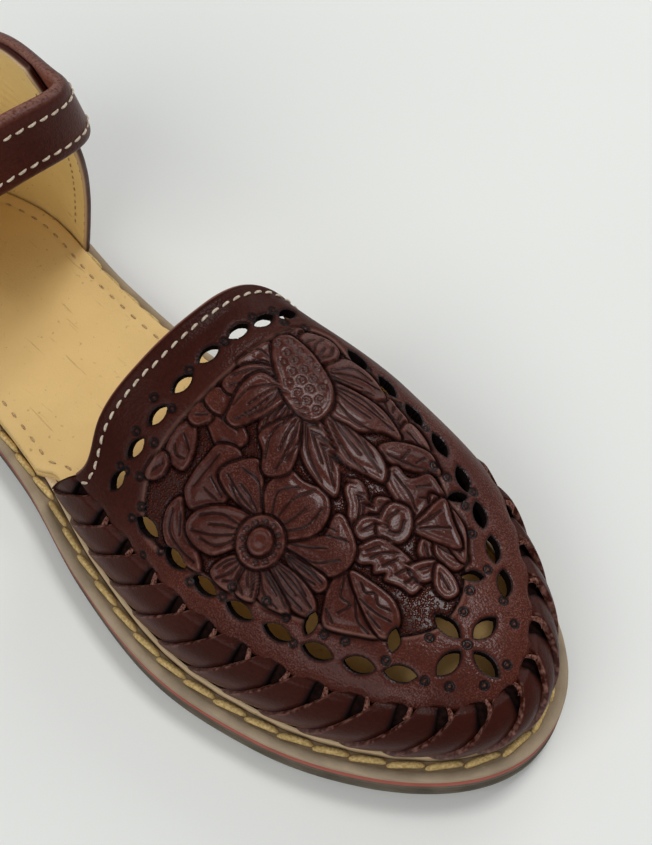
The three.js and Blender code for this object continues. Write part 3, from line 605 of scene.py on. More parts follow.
SIDE_PETALS = (
    ((48.1, -10.7), (44.8, -11.6), (41.3, -13.4), (37.9, -16.4), (36.1, -19.5), (36.4, -22.2),
     (39.4, -23.8), (43.7, -23.8), (47.1, -22.6), (50, -18.5), (50, -15)),
    ((47, -10.3), (41.1, -10.8), (36.7, -10), (34.8, -8.2), (35.9, -4.7), (38.9, -0.6), (41.8, -0.6),
     (45.8, -4.2), (49.6, -8.7)),
    ((51.4, -8.4), (46.5, -4.2), (46, -0.6), (47.6, 3.7), (51.6, 4.2), (56.7, 6.1), (60.2, 4.7),
     (62.3, 1.6), (62.8, -2.7), (60.7, -6.5), (57.5, -9.3)),
)
SIDE_HEAD = (54.2, -13.3)
SIDE_HEAD_RADIUS = 6.1
SIDE_DOME_RADIUS = 3.2
SIDE_DOTS = 12
SIDE_DOT_CIRCLE = 4.6
SIDE_DOT_RADIUS = 0.55
SUNFLOWER_HEART = (31, 22)

# Long lines of a flower's petal: share of its half width beside the middle, share of its length
SWEEP_LINES = ((-0.6, 0.8), (-0.12, 0.6), (0.3, 0.88), (0.66, 0.7))

# Punched rings round the panel and along the holes, in plan
PUNCHED_RINGS = (
    (10.8, 25.4), (11.9, 31.7), (16.4, 31.3), (20.4, 35), (11.6, 15), (10.7, 3.5), (8.9, -7.1), (14.6, -6),
    (10.8, -15), (16.3, -14.2), (12.3, -22.8), (14.4, -22.5), (18.3, -21.7), (23.2, -25.8), (22.5, -28.8),
    (30.5, -32.7), (34.1, -29.8), (45.6, -30.3), (55, -27.6), (55.8, -24.7), (64.8, -21.6), (71, -20.9),
    (76, -23.6), (80.4, -17.5), (85.3, -15.1), (95.3, -11.5), (105, -8.4), (110, -5.1), (98.9, -0.4),
    (99.9, 10.3), (97.3, 15.4), (96.2, 23), (104.3, 20), (110, 17.7), (115.8, 8.8), (115.5, 1.1),
    (106.1, 5), (38.8, 39.4), (51.6, 38), (59.9, 39), (68.9, 32.5), (73.2, 33), (79.6, 36), (81.3, 31),
    (87.4, 26.8),
)
RING_RADIUS = 0.85
RING_WIDTH = 0.5
FINE_RING_WIDTH = 0.3

# Heights and depths of the tooling, widths of its cut lines
MARGIN_DEPTH = 0.35
GROUND_DEPTH = 0.75
PETAL_SINK = 0.7
PETAL_RISE = 0.85
PETAL_GROWTH = 0.35
PETAL_ROUNDING = 0.35
PETAL_HOLLOW = 0.2
SCROLL_RISE = 0.6
SEED_HEAD_RISE = 0.9
SEED_ROW_SHARE = 0.87
DISC_RISE = 0.7
DOME_RISE = 1.3
CUT_STRENGTH = 0.9
VEIN_WIDTH = 0.22
SWEEP_WIDTH = 0.21


class Tooling:
    """Relief and wear of the vamp with its painted shade and painted highlights, painted shape by shape over
    its points.
    """

    def __init__(self, points, normals):
        self.points = points.reshape(-1, 3)
        self.plan = self.points[:, :2]
        self.open = normals.reshape(-1, 3)[:, 2] > 0.12
        count = len(self.points)
        self.height = np.zeros(count)
        self.groove = np.zeros(count)
        self.wear_and_sheen = np.zeros(count)
        self.ground = np.zeros(count)
        self.inside = np.zeros(count)
        # shade: darkening round the raised shapes, in their hollows and beside the cut lines, partly antique
        # dye in the hollows and partly painted shade
        self.shade = np.zeros(count)
        self.raw = np.zeros(count)

    def near(self, path, margin):
        """Points that face up and lie over the path's box in plan, with a margin."""
        low = path.min(0) - margin
        high = path.max(0) + margin
        return np.flatnonzero(self.open & ((self.plan > low) & (self.plan < high)).all(1))

    def panel(self, outline_points):
        """The window in the top leather: a sunken ground, with the leather pressed down round it."""
        shape = closed_curve(outline_points, 3)
        at = self.near(shape, 4)
        d = inside_distance(self.plan[at], shape)
        within = step(d, -0.25, 0.25)
        self.height[at] = lerp(-MARGIN_DEPTH * step(d, -2.2, -0.2), -GROUND_DEPTH, within)
        self.groove[at] = bell(d, 0.2, 0.35)
        self.raw[at] = step(d, -1.3, -0.5) * (1 - within) * 0.35
        self.ground[at] = within
        self.inside[at] = within

    def petal(self, outline_points, veins=(), rise=PETAL_RISE):
        """A rounded shape that stands on the ground: a dark cut round its outline with painted shade about
        it, and a pale rim along its edge that is partly wear and partly painted highlight.
        """
        shape = closed_curve(outline_points)
        at = self.near(shape, 1)
        d = inside_distance(self.plan[at], shape) + PETAL_GROWTH
        within = step(d, -0.3, 0.12)
        dome = rise * (1 - np.exp(-np.maximum(d, 0) / PETAL_ROUNDING)) - PETAL_SINK
        dome = dome - PETAL_HOLLOW * bell(d, 2, 0.9)
        self.height[at] = lerp(self.height[at], dome, within)
        self.ground[at] *= 1 - within
        # Painted shade just outside the outline and just inside it
        beyond = np.maximum(self.shade[at], 0.85 * bell(d, 0, 0.9))
        self.shade[at] = lerp(beyond, 0.6 * bell(d, 0, 0.6), within)
        # Pale rim just inside the outline: partly wear, partly painted highlight
        self.wear_and_sheen[at] = lerp(self.wear_and_sheen[at], 0.6 * bell(d, 0.65, 0.25), within)
        self.groove[at] = np.maximum(self.groove[at] * (1 - within), bell(d, -0.05, 0.25))
        for vein in veins:
            self.line(vein, VEIN_WIDTH)

    def sweep(self, outline_points, heart):
        """A petal with long lines from its base towards its tip, bowed like its sides."""
        self.petal(outline_points)
        shape = closed_curve(outline_points)
        reach = np.linalg.norm(shape - np.array(heart, float), axis=1)
        base = shape[np.argmin(reach)]
        tip = shape[np.argmax(reach)]
        ahead = (tip - base) / np.linalg.norm(tip - base)
        side = np.array([-ahead[1], ahead[0]])
        across = (shape - base) @ side
        for share, end in SWEEP_LINES:
            bow = side * share * (across.max() if share > 0 else -across.min())
            self.line((lerp(base, tip, 0.06) + bow * 0.35, lerp(base, tip, end * 0.55) + bow,
                       lerp(base, tip, end) + bow * 0.7), SWEEP_WIDTH)

    def line(self, path_points, width):
        """A cut line, dark, with painted shade round it and a pale band on both sides that is partly wear and
        partly painted highlight.
        """
        path = open_curve(path_points)
        at = self.near(path, 1.6)
        d = path_distance(self.plan[at], path)
        mark = CUT_STRENGTH * bell(d, 0, width)
        self.groove[at] = np.maximum(self.groove[at], mark)
        self.shade[at] = np.maximum(self.shade[at], 0.6 * CUT_STRENGTH * bell(d, 0, 3.4 * width))
        beside = 0.5 * CUT_STRENGTH * bell(d, 2.3 * width, 0.8 * width)
        self.wear_and_sheen[at] = np.maximum(self.wear_and_sheen[at] * (1 - mark), beside)

    def ring(self, centre, radius, width, dimple=0.5, depth=1.0):
        """A punched ring about the surface point over a place in plan."""
        centre = np.array(centre, float)
        at = self.near(centre[None], radius + 3)
        middle = self.points[at[np.argmin(np.linalg.norm(self.plan[at] - centre, axis=1))]]
        d = np.linalg.norm(self.points[at] - middle, axis=1)
        mark = depth * np.exp(-((d - radius) / width) ** 4)
        self.groove[at] = np.maximum(self.groove[at], mark)
        self.wear_and_sheen[at] = lerp(self.wear_and_sheen[at], dimple, bell(d, 0, 0.45 * radius))
        self.raw[at] *= 1 - mark

    def seed_head(self, outline_points, pitch, radius):
        """The middle of the sunflower, filled with small rings in offset rows."""
        self.petal(outline_points, rise=SEED_HEAD_RISE)
        shape = closed_curve(outline_points)
        low = shape.min(0)
        rows = int((shape[:, 1].max() - low[1]) / (SEED_ROW_SHARE * pitch)) + 1
        columns = int((shape[:, 0].max() - low[0]) / pitch) + 1
        spots = low + pitch * np.array([(j + 0.5 * (i % 2), (i + 0.4) * SEED_ROW_SHARE)
                                        for i in range(rows) for j in range(columns + 1)])
        for spot in spots[inside_distance(spots, shape) > 0.8 * radius]:
            self.ring(spot, radius, FINE_RING_WIDTH, dimple=0.2, depth=0.55)

    def disc(self, centre, radius, dome_radius, dots):
        """The middle of the other flower: a disc, a dome on it and a circle of dots between."""
        middle = np.array(centre)
        turn = np.linspace(0, FULL_TURN, 2 * dots, endpoint=False)
        circle = np.stack([np.cos(turn), np.sin(turn)], -1)
        self.petal(middle + circle[::2] * radius, rise=DISC_RISE)
        self.petal(middle + circle[::3] * dome_radius, rise=DOME_RISE)
        for spot in middle + circle[::2] * SIDE_DOT_CIRCLE:
            self.ring(spot, SIDE_DOT_RADIUS, FINE_RING_WIDTH, dimple=0.6, depth=0.7)

    def paint(self):
        """All of the tooling, the later shapes over the earlier ones."""
        self.panel(PANEL)
        for outline_points, veins in UNDER_LEAVES + BUDS:
            self.petal(outline_points, veins)
        for outline_points, veins in RIGHT_SCROLLS:
            self.petal(outline_points, veins, SCROLL_RISE)
        for outline_points in SIDE_OUTER_PETALS + SIDE_PETALS:
            self.sweep(outline_points, SIDE_HEAD)
        for outline_points in SUNFLOWER_PETALS:
            self.sweep(outline_points, SUNFLOWER_HEART)
        self.seed_head(SEED_HEAD, SEED_PITCH, SEED_RADIUS)
        self.disc(SIDE_HEAD, SIDE_HEAD_RADIUS, SIDE_DOME_RADIUS, SIDE_DOTS)
        for centre in PUNCHED_RINGS:
            self.ring(centre, RING_RADIUS, RING_WIDTH)


# Lens-shaped holes; no distance from one is counted past HOLE_FAR
HOLE_FAR = 9.0


def lens_frames():
    """Centre, long direction, short direction and outward direction of every hole."""
    frames = []
    for around, rise, count, across, size in LENS_ROWS:
        for i in range(count):
            share = i / (count - 1)
            place = lerp(*around, share) * BORDER_LENGTH
            centre, right, up, out = surface_frame(place, lerp(*rise, share) * INSTEP_HEIGHT)
            frames.append((centre, up, -right, out, size) if across else (centre, right, up, out, size))
    x, y = CROSS_ALONG * SOLE_LENGTH, CROSS_SIDE * BALL_WIDTH
    for i in range(4):
        right = np.array([math.cos(i * QUARTER), math.sin(i * QUARTER), 0])
        centre = np.array([x, y, float(ridge_height(x))]) + right * CROSS_REACH
        frames.append((centre, right, np.cross(SKYWARD, right), SKYWARD, CROSS_SIZE))
    return frames


def lens_distance(points, lens):
    """Distance from a lens outline, less than zero in the hole, and the direction out of the hole."""
    centre, right, up, out, size = lens
    away = points - centre
    flat = np.stack([away @ right, away @ up], -1)
    a, b = LENS_LENGTH * size / 2, LENS_WIDTH * size / 2
    radius = (a * a + b * b) / (2 * b)
    side = np.where(flat[:, 1:] > 0, 1, -1) * np.array([0, b - radius])
    spoke = flat - side
    length = np.linalg.norm(spoke, axis=1)
    spoke = spoke / length[:, None]
    far = np.abs(away @ out) > HOLE_FAR
    return np.where(far, HOLE_FAR, length - radius), spoke[:, :1] * right + spoke[:, 1:] * up


def hole_distances(points):
    """Distance from the nearest hole's outline and the direction out of that hole, for each point."""
    hole = np.full(len(points), HOLE_FAR)
    aside = np.zeros((len(points), 3))
    for lens in lens_frames():
        at = np.flatnonzero(np.linalg.norm(points - lens[0], axis=1) < LENS_LENGTH)
        distance, direction = lens_distance(points[at], lens)
        closer = distance < hole[at]
        hole[at[closer]] = distance[closer]
        aside[at[closer]] = direction[closer]
    return hole, aside


# Vamp
VAMP_COLUMNS = 420
VAMP_ROWS = 226
VAMP_FIRST_ANGLE = 0.85
VAMP_EDGE_POINTS = 1500
VAMP_THROAT_POINTS = 60
VAMP_OVERLAP = 0.6
GROOVE_DEPTH = 0.38
SLOT_AHEAD = 5.0
SLOT_HALF = 3.0
SLOT_SCALLOP = 1.2
LENS_SNAP = 0.27
LENS_BURN = 0.5
THROAT_RAW = 0.8
THROAT_SHADE = 0.6
SHADE_REACH = (6, 45)
LINING_STEP = 4

# Rounding of the vamp's cut edges as (depth, reach), swell of the leather beside the throat
EDGE_ROUNDING = (0.9, 0.7)
THROAT_ROUNDING = (0.5, 0.5)
HOLE_ROUNDING = (0.5, 0.5)
THROAT_SWELL = 0.35

# Soft creases placed in plan: (middle, direction, length, width, depth)
VAMP_CREASES = (
    ((112, -14), 1.2, 14, 5, 0.6),
    ((60, -30), 0.2, 22, 4, 0.5),
    ((6, 10), 1.6, 16, 2.5, 0.4),
)


def vamp_edge_rise(around):
    """Rise of the vamp's lower edge, scalloped over the slot at each band's end."""
    rise = np.full(np.shape(around), BORDER_HEIGHT - VAMP_OVERLAP)
    for start in np.arange(BAND_COUNT) * BAND_PITCH:
        d = (around - start - lean_at(start) - SLOT_AHEAD) / SLOT_HALF
        rise = rise + SLOT_SCALLOP * np.exp(-d ** 4)
    return rise


def vamp_grid():
    """Points and normals over the vamp: rows from the outer border up to the ridge and down again."""
    edge_angles = np.linspace(VAMP_FIRST_ANGLE, FULL_TURN - VAMP_FIRST_ANGLE, VAMP_EDGE_POINTS)
    edge_turns = turn_at_rise(edge_angles, vamp_edge_rise(around_at(edge_angles)))
    along = np.linspace(0, 1, VAMP_COLUMNS)
    sides = []
    for inner in (False, True):
        throat_turns = np.linspace(0, QUARTER, VAMP_THROAT_POINTS)
        throat_angles = throat_angle(inner, throat_turns)
        turn = np.full((VAMP_ROWS, VAMP_COLUMNS), FIRST_TURN)
        up = np.linspace(0, 1, VAMP_ROWS)[:, None]
        for _ in range(SETTLING_ROUNDS):
            angle = lerp(np.interp(turn, throat_turns, throat_angles), math.pi, along)
            turn = lerp(np.interp(angle, edge_angles, edge_turns), QUARTER, up)
        sides.append((upper_point(angle, turn), upper_normal(angle, turn)))
    (outer, outer_normal), (inner, inner_normal) = sides
    points = np.concatenate([outer, inner[-2::-1]])
    normals = np.concatenate([outer_normal, inner_normal[-2::-1]])
    return points, normals


def crease(points, centre, along, length, width, depth):
    """Height of a soft trough in the leather, at its deepest in its middle."""
    away = points[..., :2] - np.array(centre)
    direction = np.array([math.cos(along), math.sin(along)])
    ahead = away @ direction
    side = away @ np.array([-direction[1], direction[0]])
    return -depth * bell(side, 0, width) * bell(ahead, 0, length)


def vamp_normals(points, normals):
    """Normals of the shaped vamp, turned to the smooth surface's side and matched where its halves meet."""
    shaded = grid_normals(points)
    facing = np.sign((shaded * normals).sum(-1, keepdims=True))
    shaded = shaded * np.where(facing == 0, 1, facing)
    shaded[:, -1] = unit(shaded[:, -1] + shaded[::-1, -1])
    return shaded.reshape(-1, 3)


def rounded_off(distance, depth, reach):
    """Height of leather that falls away by a depth towards its edge."""
    return -depth * np.exp(-distance / reach)


def vamp_height(points, tooling, hole, edge, throat):
    """Height over the smooth surface: tooling, rounded edges, a swell beside the throat and creases."""
    height = tooling.height - GROOVE_DEPTH * tooling.groove + THROAT_SWELL * bell(throat, 1.6, 1.2)
    height = height + rounded_off(edge, *EDGE_ROUNDING) + rounded_off(throat, *THROAT_ROUNDING)
    height = height + rounded_off(np.abs(hole), *HOLE_ROUNDING)
    return height + sum(crease(points, *one) for one in VAMP_CREASES)


def vamp_looks(tooling, hole, throat):
    """What the leather's material reads: tooling, burnt rims of the holes, the raw and shaded throat."""
    burn = np.clip(1.35 - np.maximum(hole, 0) / LENS_BURN, 0, 1)
    throat_shade = THROAT_SHADE * (1 - step(throat, *SHADE_REACH)) * (1 - tooling.inside)
    return {
        "groove": np.maximum(tooling.groove, burn),
        "wear_and_sheen": tooling.wear_and_sheen,
        "ground": tooling.ground,
        "panel": tooling.inside,
        "raw": np.maximum(tooling.raw, 1 - step(throat, 0.3 * THROAT_RAW, THROAT_RAW)),
        "shade": np.maximum(tooling.shade, throat_shade),
    }


def make_vamp_walls(points, normals, faces, columns, hole, material):
    """Walls down from the vamp's edges and the rims of its holes, burnt dark in the holes."""
    edges = boundary_edges(faces, len(points))
    edges = edges[(edges % columns != columns - 1).any(1)]
    walls, wall_faces = edge_walls(points, normals, edges, WALL)
    burnt = np.tile(step(2 - hole[np.unique(edges)], 0.5, 1.5), 2)
    make_piece("vamp_edges", walls, wall_faces, material, "upper", {"burnt": burnt})


def make_vamp_lining(points, normals, hole, material):
    """The vamp's inner face on a coarser grid, left out at the holes."""
    thinned = (slice(None, None, LINING_STEP), slice(None, None, LINING_STEP))
    inside = points[thinned] - normals[thinned] * WALL
    faces = grid_faces(*inside.shape[:2])
    clear = hole.reshape(points.shape[:2])[thinned].reshape(-1)[faces].min(1) > 0.4
    make_piece("vamp_lining", inside, faces[clear], material, "upper")


def make_vamp(leather, edge_leather, lining):
    """The tooled and pierced vamp in two halves, with its walls and lining; its grid and normals."""
    points, normals = vamp_grid()
    rows, columns = points.shape[:2]
    flat = points.reshape(-1, 3)
    flat_normals = normals.reshape(-1, 3)
    tooling = Tooling(points, normals)
    tooling.paint()
    hole, aside = hole_distances(flat)
    throat = np.linalg.norm(points - points[:, :1], axis=-1).reshape(-1)
    edge = np.minimum(np.linalg.norm(points - points[:1], axis=-1),
                      np.linalg.norm(points - points[-1:], axis=-1)).reshape(-1)
    shaped = flat + flat_normals * vamp_height(flat, tooling, hole, edge, throat)[:, None]
    shaded = vamp_normals(shaped.reshape(points.shape), normals)

    snapped = np.abs(hole) < LENS_SNAP
    shaped[snapped] -= aside[snapped] * hole[snapped, None]
    faces = grid_faces(rows, columns)
    corners = hole[faces]
    faces = faces[(corners.min(1) > -LENS_SNAP) & (corners.mean(1) > 0)]

    looks = vamp_looks(tooling, hole, throat)
    middle = rows // 2 * columns
    halves = (("vamp_outer", faces.max(1) < middle + columns), ("vamp_inner", faces.min(1) >= middle))
    for name, chosen in halves:
        part = faces[chosen]
        first, last = part.min(), part.max() + 1
        make_piece(name, shaped[first:last], part - first, leather, "upper",
                   {key: value[first:last] for key, value in looks.items()}, shaded[first:last])
    make_vamp_walls(shaped, flat_normals, faces, columns, hole, edge_leather)
    make_vamp_lining(points, normals, hole, lining)
    return shaped.reshape(rows, columns, 3), normals


# Braided border: leather bands over a dark wall, each with its heel-side edge raised and raw
BAND_FOOT = 1.0
BAND_TOP = BORDER_HEIGHT + 0.4
BAND_EDGE_LIFT = 1.15
BAND_TUCK = -0.55
BAND_THICK = 1.5
BAND_FOOT_TUCK = 3.0
BAND_TOP_TUCK = 1.6
BAND_SWAY = 0.7
BAND_NARROWED = 0.5
BAND_SWELL = 0.3
BAND_RAGGED = 0.035
BAND_THROAT_GAP = 0.4
BAND_SIDE_RAW = 0.6
BAND_FOOT_REACH = (2, 13)
BAND_ROWS = 26
BAND_ACROSS = (0, 0.02, 0.05, 0.1, 0.17, 0.25, 0.35, 0.45, 0.56, 0.67, 0.78, 0.88, 0.95, 1)
BORDER_WALL_DEPTH = 1.9

# Small raw tabs beside the slots
TAB_AHEAD = 3.6
TAB_HALF_WIDTH = 0.75
TAB_HALF_HEIGHT = 1.9
TAB_BELOW_EDGE = 1.4
TAB_LIFT = 0.75


def outer_throat():
    """Rises up the outer throat edge and the distances round the border at which it stands there."""
    rises = np.linspace(0, BORDER_HEIGHT + 3, 12)
    turn = np.full(len(rises), FIRST_TURN)
    for _ in range(SETTLING_ROUNDS):
        start = throat_angle(False, turn)
        turn = turn_at_rise(start, rises)
    return rises, around_at(start)


throat_rises, throat_arounds = outer_throat()


def throat_around(rise):
    """Distance round the border at which the outer throat edge stands, by rise."""
    return np.interp(rise, throat_rises, throat_arounds)


def band_grid(start):
    """One band's top and lower surface, how raw it is and the end that lies under the next band, where shadow
    is painted.
    """
    up = np.linspace(0, 1, BAND_ROWS)[:, None]
    share = np.array(BAND_ACROSS)
    dive_low = np.exp(-up * 6)
    dive_high = step(up, 0.9, 1.0)
    narrow = 1 - BAND_NARROWED * np.clip((up - 0.62) / 0.34, 0, 1)
    foot = start + share * narrow * (BAND_PITCH + BAND_OVERLAP)
    sway = BAND_SWAY * np.sin(start * 1.7) * up * (1 - up) * 4
    rise = lerp(BAND_FOOT, BAND_TOP, up) + 0 * share
    around = np.maximum(foot + lean_at(foot) * up + sway, throat_around(rise) + BAND_THROAT_GAP + 0.6 * share)
    lift = lerp(BAND_EDGE_LIFT, BAND_TUCK, share ** 0.9) + 0.15 * np.sin(share * math.pi)
    lift = lift - 0.3 * np.exp(-share / 0.02) - BAND_FOOT_TUCK * dive_low - BAND_TOP_TUCK * dive_high
    lift = lift + BAND_SWELL * np.sin(up * math.pi) * np.sin(share * math.pi)
    ragged = BAND_RAGGED + 0.02 * np.sin(up * 31 + start) * np.sin(up * 17 + 2 * start)
    raw = bell(share, 0, ragged) * (0.75 + 0.25 * np.sin(up * 43 + 3 * start))
    # Painted shadow where the band runs under the next one
    under = step(share, 0.84, 0.94) * np.ones_like(up)
    return at_rise(around, rise, lift), at_rise(around, rise, lift - BAND_THICK), raw, under


def make_bands(leather, wall_leather):
    """All bands as one piece, and the dark wall behind them."""
    parts = []
    raw_parts = []
    under_parts = []
    for i in range(-2, BAND_COUNT):
        top, low, raw, under = band_grid(i * BAND_PITCH)
        section = np.concatenate([low[:, :1], top, low[:, -1:]], axis=1)
        raw = np.concatenate([BAND_SIDE_RAW + 0 * raw[:, :1], raw, 0 * raw[:, :1]], axis=1)
        under = np.concatenate([under[:, :1], under, under[:, -1:]], axis=1)
        parts.append((section, grid_faces(*section.shape[:2])))
        raw_parts.append(raw.reshape(-1))
        under_parts.append(under.reshape(-1))
    points, faces = joined(parts)
    raw = np.concatenate(raw_parts)
    foot = 1 - step(points[:, 2] - UPPER_BASE - spring(points[:, 0]), *BAND_FOOT_REACH)
    make_piece("border_bands", points, faces, leather, "upper",
               {"raw": raw, "foot": foot, "under": np.concatenate(under_parts)})
    # The dark wall behind the bands: painted shade for the gaps between them
    rise = np.linspace(0, BORDER_HEIGHT + 1.5, 14)[:, None]
    around = lerp(throat_around(rise) + 0.5, BORDER_LENGTH - 0.5, np.linspace(0, 1, 500))
    wall = at_rise(around, rise + 0 * around, -BORDER_WALL_DEPTH)
    make_piece("border_wall", wall, grid_faces(*wall.shape[:2]), wall_leather, "upper")


def make_tabs(leather):
    """Small raw tabs that stick out beside the slots, each a little sheet bent over the edge."""
    share = np.linspace(-1, 1, 5)
    up = np.linspace(-1, 1, 7)[:, None]
    parts = []
    for i in range(BAND_COUNT):
        start = i * BAND_PITCH
        place = start + lean_at(start) + SLOT_AHEAD + TAB_AHEAD
        slant = 0.5 * math.sin(i * 2.3)
        around = place + share * TAB_HALF_WIDTH * (1 - 0.3 * up) + up * slant - 0.3 * up ** 2
        half_height = TAB_HALF_HEIGHT + 0.4 * math.sin(i * 4.1)
        rise = BORDER_HEIGHT - TAB_BELOW_EDGE + up * half_height + 0 * share
        lift = TAB_LIFT - 0.9 * share ** 4 - 0.8 * np.abs(up) ** 3
        top = at_rise(around, rise, lift)
        parts.append((top, grid_faces(*top.shape[:2])))
    points, faces = joined(parts)
    make_piece("border_tabs", points, faces, leather)


THROAT_STITCH_INSET = 3.5


def make_throat_stitches(grid, normals, thread):
    """A row of stitches beside the throat edge, from the outer border over the ridge to the inner."""
    away = np.linalg.norm(grid - grid[:, :1], axis=-1)
    column = (away < THROAT_STITCH_INSET).sum(1)
    rows = np.arange(6, len(grid) - 6)
    outs = normals[rows, column[rows]]
    path = grid[rows, column[rows]] + outs * 0.1
    points, faces = stitch_row(path, outs, *THROAT_STITCH, twist=0.12)
    make_piece("throat_stitches", points, faces, thread)


# Sole
SOLE_SIDES = 480
STRIPE_BOTTOM = 6.7
STRIPE_TOP = 9.0
LAYER_GAP = 0.1
OUTSOLE_TAPER = 0.25
RIB_COUNT = 3
RIB_FOOT = 2.6
RIB_PITCH = 0.9
RIB_DEPTH = 0.4
INSOLE_TOP = UPPER_BASE + 4.2
STITCH_INSET = 4.0
STITCH_INSET_AT_WAIST = 3.1
INSOLE_INSET = 4.2
INSOLE_INSET_UNDER_UPPER = 8.3
INSOLE_GROOVE = 3.9
sole_angles = np.linspace(0, FULL_TURN, SOLE_SIDES, endpoint=False)


def layer(levels, arched=0):
    """Rings from levels of (height over the floor, inset of the outline); the arch lifts the lowest few."""
    rings = []
    for i, (height, inset) in enumerate(levels):
        ring = inset_outline(sole_angles, np.broadcast_to(inset, sole_angles.shape))
        z = height + spring(ring[:, 0]) + (i < arched) * arch(ring[:, 0])
        rings.append(np.column_stack([ring, z]))
    return np.array(rings)


def capped(rings):
    """A layer's points and faces, with strips across its lowest and highest ring."""
    count = SOLE_SIDES
    half = count // 2
    i = np.arange(1, half - 1)
    strip = np.stack([i, i + 1, count - i - 1, count - i], -1)
    ends = np.array([[0, 1, count - 1], [half - 1, half, half + 1]])
    top = (len(rings) - 1) * count
    quads = np.concatenate([grid_faces(len(rings), count, closed=True), strip[:, ::-1], strip + top])
    triangles = np.concatenate([ends[:, ::-1], ends + top])
    return rings.reshape(-1, 3), [*quads.tolist(), *triangles.tolist()]


def make_layer(name, levels, material, replaces, arched=0):
    points, faces = capped(layer(levels, arched))
    make_piece(name, points, np.array(faces, dtype=object), material, replaces)


def under_upper(angle):
    """1 where the upper stands on the sole, 0 at the waist and the heel."""
    x = outline(angle)[..., 0]
    inner = np.mod(angle, FULL_TURN) > math.pi
    foot = np.where(inner, THROAT_INNER[0], THROAT_OUTER[0]) * SOLE_LENGTH
    return step(x, foot - 7, foot - 2)


def lying_stitches(name, height, inset, material, stitch, **manner):
    """A closed row of stitches that lies flat on the sole or the insole."""
    path = layer([(height, inset)])[0]
    path = np.concatenate([path, path[:1]])
    points, faces = stitch_row(path, np.tile(SKYWARD, (len(path), 1)), *stitch, **manner)
    make_piece(name, points, faces, material)


def taper(height):
    """How far the outsole's side stands in at a height."""
    return OUTSOLE_TAPER * (1 - height / STRIPE_BOTTOM)


def make_sole(rubber, stripe, rim, welt, thread):
    """Outsole, stripe and midsole, the welt's edge in the midsole's groove and the golden stitches."""
    levels = [(0, 3), (0, 1.9), (0.12, 1.35), (0.6, taper(0.6)), (1.6, taper(1.6))]
    for i in range(RIB_COUNT):
        z = RIB_FOOT + i * RIB_PITCH
        levels += [(z, taper(z)), (z + 0.08, taper(z) + RIB_DEPTH), (z + 0.36, taper(z) + RIB_DEPTH),
                   (z + 0.45, taper(z))]
    top = STRIPE_BOTTOM - LAYER_GAP
    levels += [(top - 0.12, 0.1), (top, 0.25), (top, 1.5)]
    make_layer("fine_outsole", levels, rubber, "outsole", arched=4)
    levels = [(STRIPE_BOTTOM, 1.4), (STRIPE_BOTTOM, 0.2), (STRIPE_BOTTOM + 0.15, 0),
              (STRIPE_TOP - 0.15, 0), (STRIPE_TOP, 0.2), (STRIPE_TOP, 1.4)]
    make_layer("fine_stripe", levels, stripe, "sole_stripe")
    low = STRIPE_TOP + LAYER_GAP
    high = SOLE_HEIGHT
    levels = [(low, 1.4), (low, 0.2), (low + 0.15, 0), (high - 0.7, 0), (high - 0.3, 0.12),
              (high - 0.08, 0.4), (high, 0.8), (high, 2.3), (high - 0.5, 2.6), (high - 0.6, 5.3),
              (high - 1.3, 5.6), (high - 1.3, 6.0), (high - 0.1, 6.2), (high, 6.6), (high, 9)]
    make_layer("fine_midsole", levels, rim, "midsole")
    ring = layer([(high - 1.0, 5.75), (high + 0.5, 5.65), (high + 0.95, 5.8), (high + 1.0, 6.4),
                  (high + 0.9, 7.8)])
    make_piece("welt_edge", ring, grid_faces(*ring.shape[:2], closed=True), welt)
    inset = lerp(STITCH_INSET_AT_WAIST, STITCH_INSET, under_upper(sole_angles))
    lying_stitches("sole_stitches", high - 0.1, inset, thread, SOLE_STITCH, twist=0.08, sink=0.3, blunt=5)


def make_insole(leather, thread):
    """The sock on its cushion, with a stitched groove round its top."""
    inset = lerp(INSOLE_INSET, INSOLE_INSET_UNDER_UPPER, under_upper(sole_angles))
    levels = [(UPPER_BASE, inset + 1), (UPPER_BASE, inset + 0.1), (UPPER_BASE + 0.2, inset),
              (INSOLE_TOP - 1.9, inset), (INSOLE_TOP - 1.75, inset + 0.25), (INSOLE_TOP - 1.6, inset),
              (INSOLE_TOP - 0.5, inset), (INSOLE_TOP - 0.15, inset + 0.2), (INSOLE_TOP, inset + 0.7),
              (INSOLE_TOP, inset + 1.4), (INSOLE_TOP, inset + 3.3),
              (INSOLE_TOP - 0.2, inset + INSOLE_GROOVE), (INSOLE_TOP, inset + 4.5),
              (INSOLE_TOP, inset + 5.4)]
    make_layer("fine_insole", levels, leather, "insole")
    lying_stitches("insole_stitches", INSOLE_TOP - 0.2, inset + INSOLE_GROOVE, thread, INSOLE_STITCH)


# Heel counter and ankle strap
COUNTER_COLUMNS = 150
COUNTER_ROWS = 60
counter_keys = np.array(COUNTER_SHARES) * COUNTER_HEIGHT
counter_lean = smooth(counter_keys, np.array(COUNTER_LEAN) * HEEL_WIDTH)
counter_heel_lean = smooth(counter_keys, np.array(COUNTER_HEEL_LEAN) * HEEL_WIDTH)
counter_front = smooth(counter_keys, COUNTER_FRONT)


def strap_bottom(x):
    return STRAP_HEEL_HEIGHT * COUNTER_HEIGHT + STRAP_SLOPE * (x + SOLE_LENGTH / 2 - STRAP_HEEL_INSET)


def counter_point(angle, z, extra):
    lean = counter_lean(z) + counter_heel_lean(z) * np.cos(angle) ** 4
    p = inset_outline(angle, COUNTER_INSET + lean + extra)
    return np.concatenate([p, np.broadcast_to(z, p.shape[:-1])[..., None]], -1)


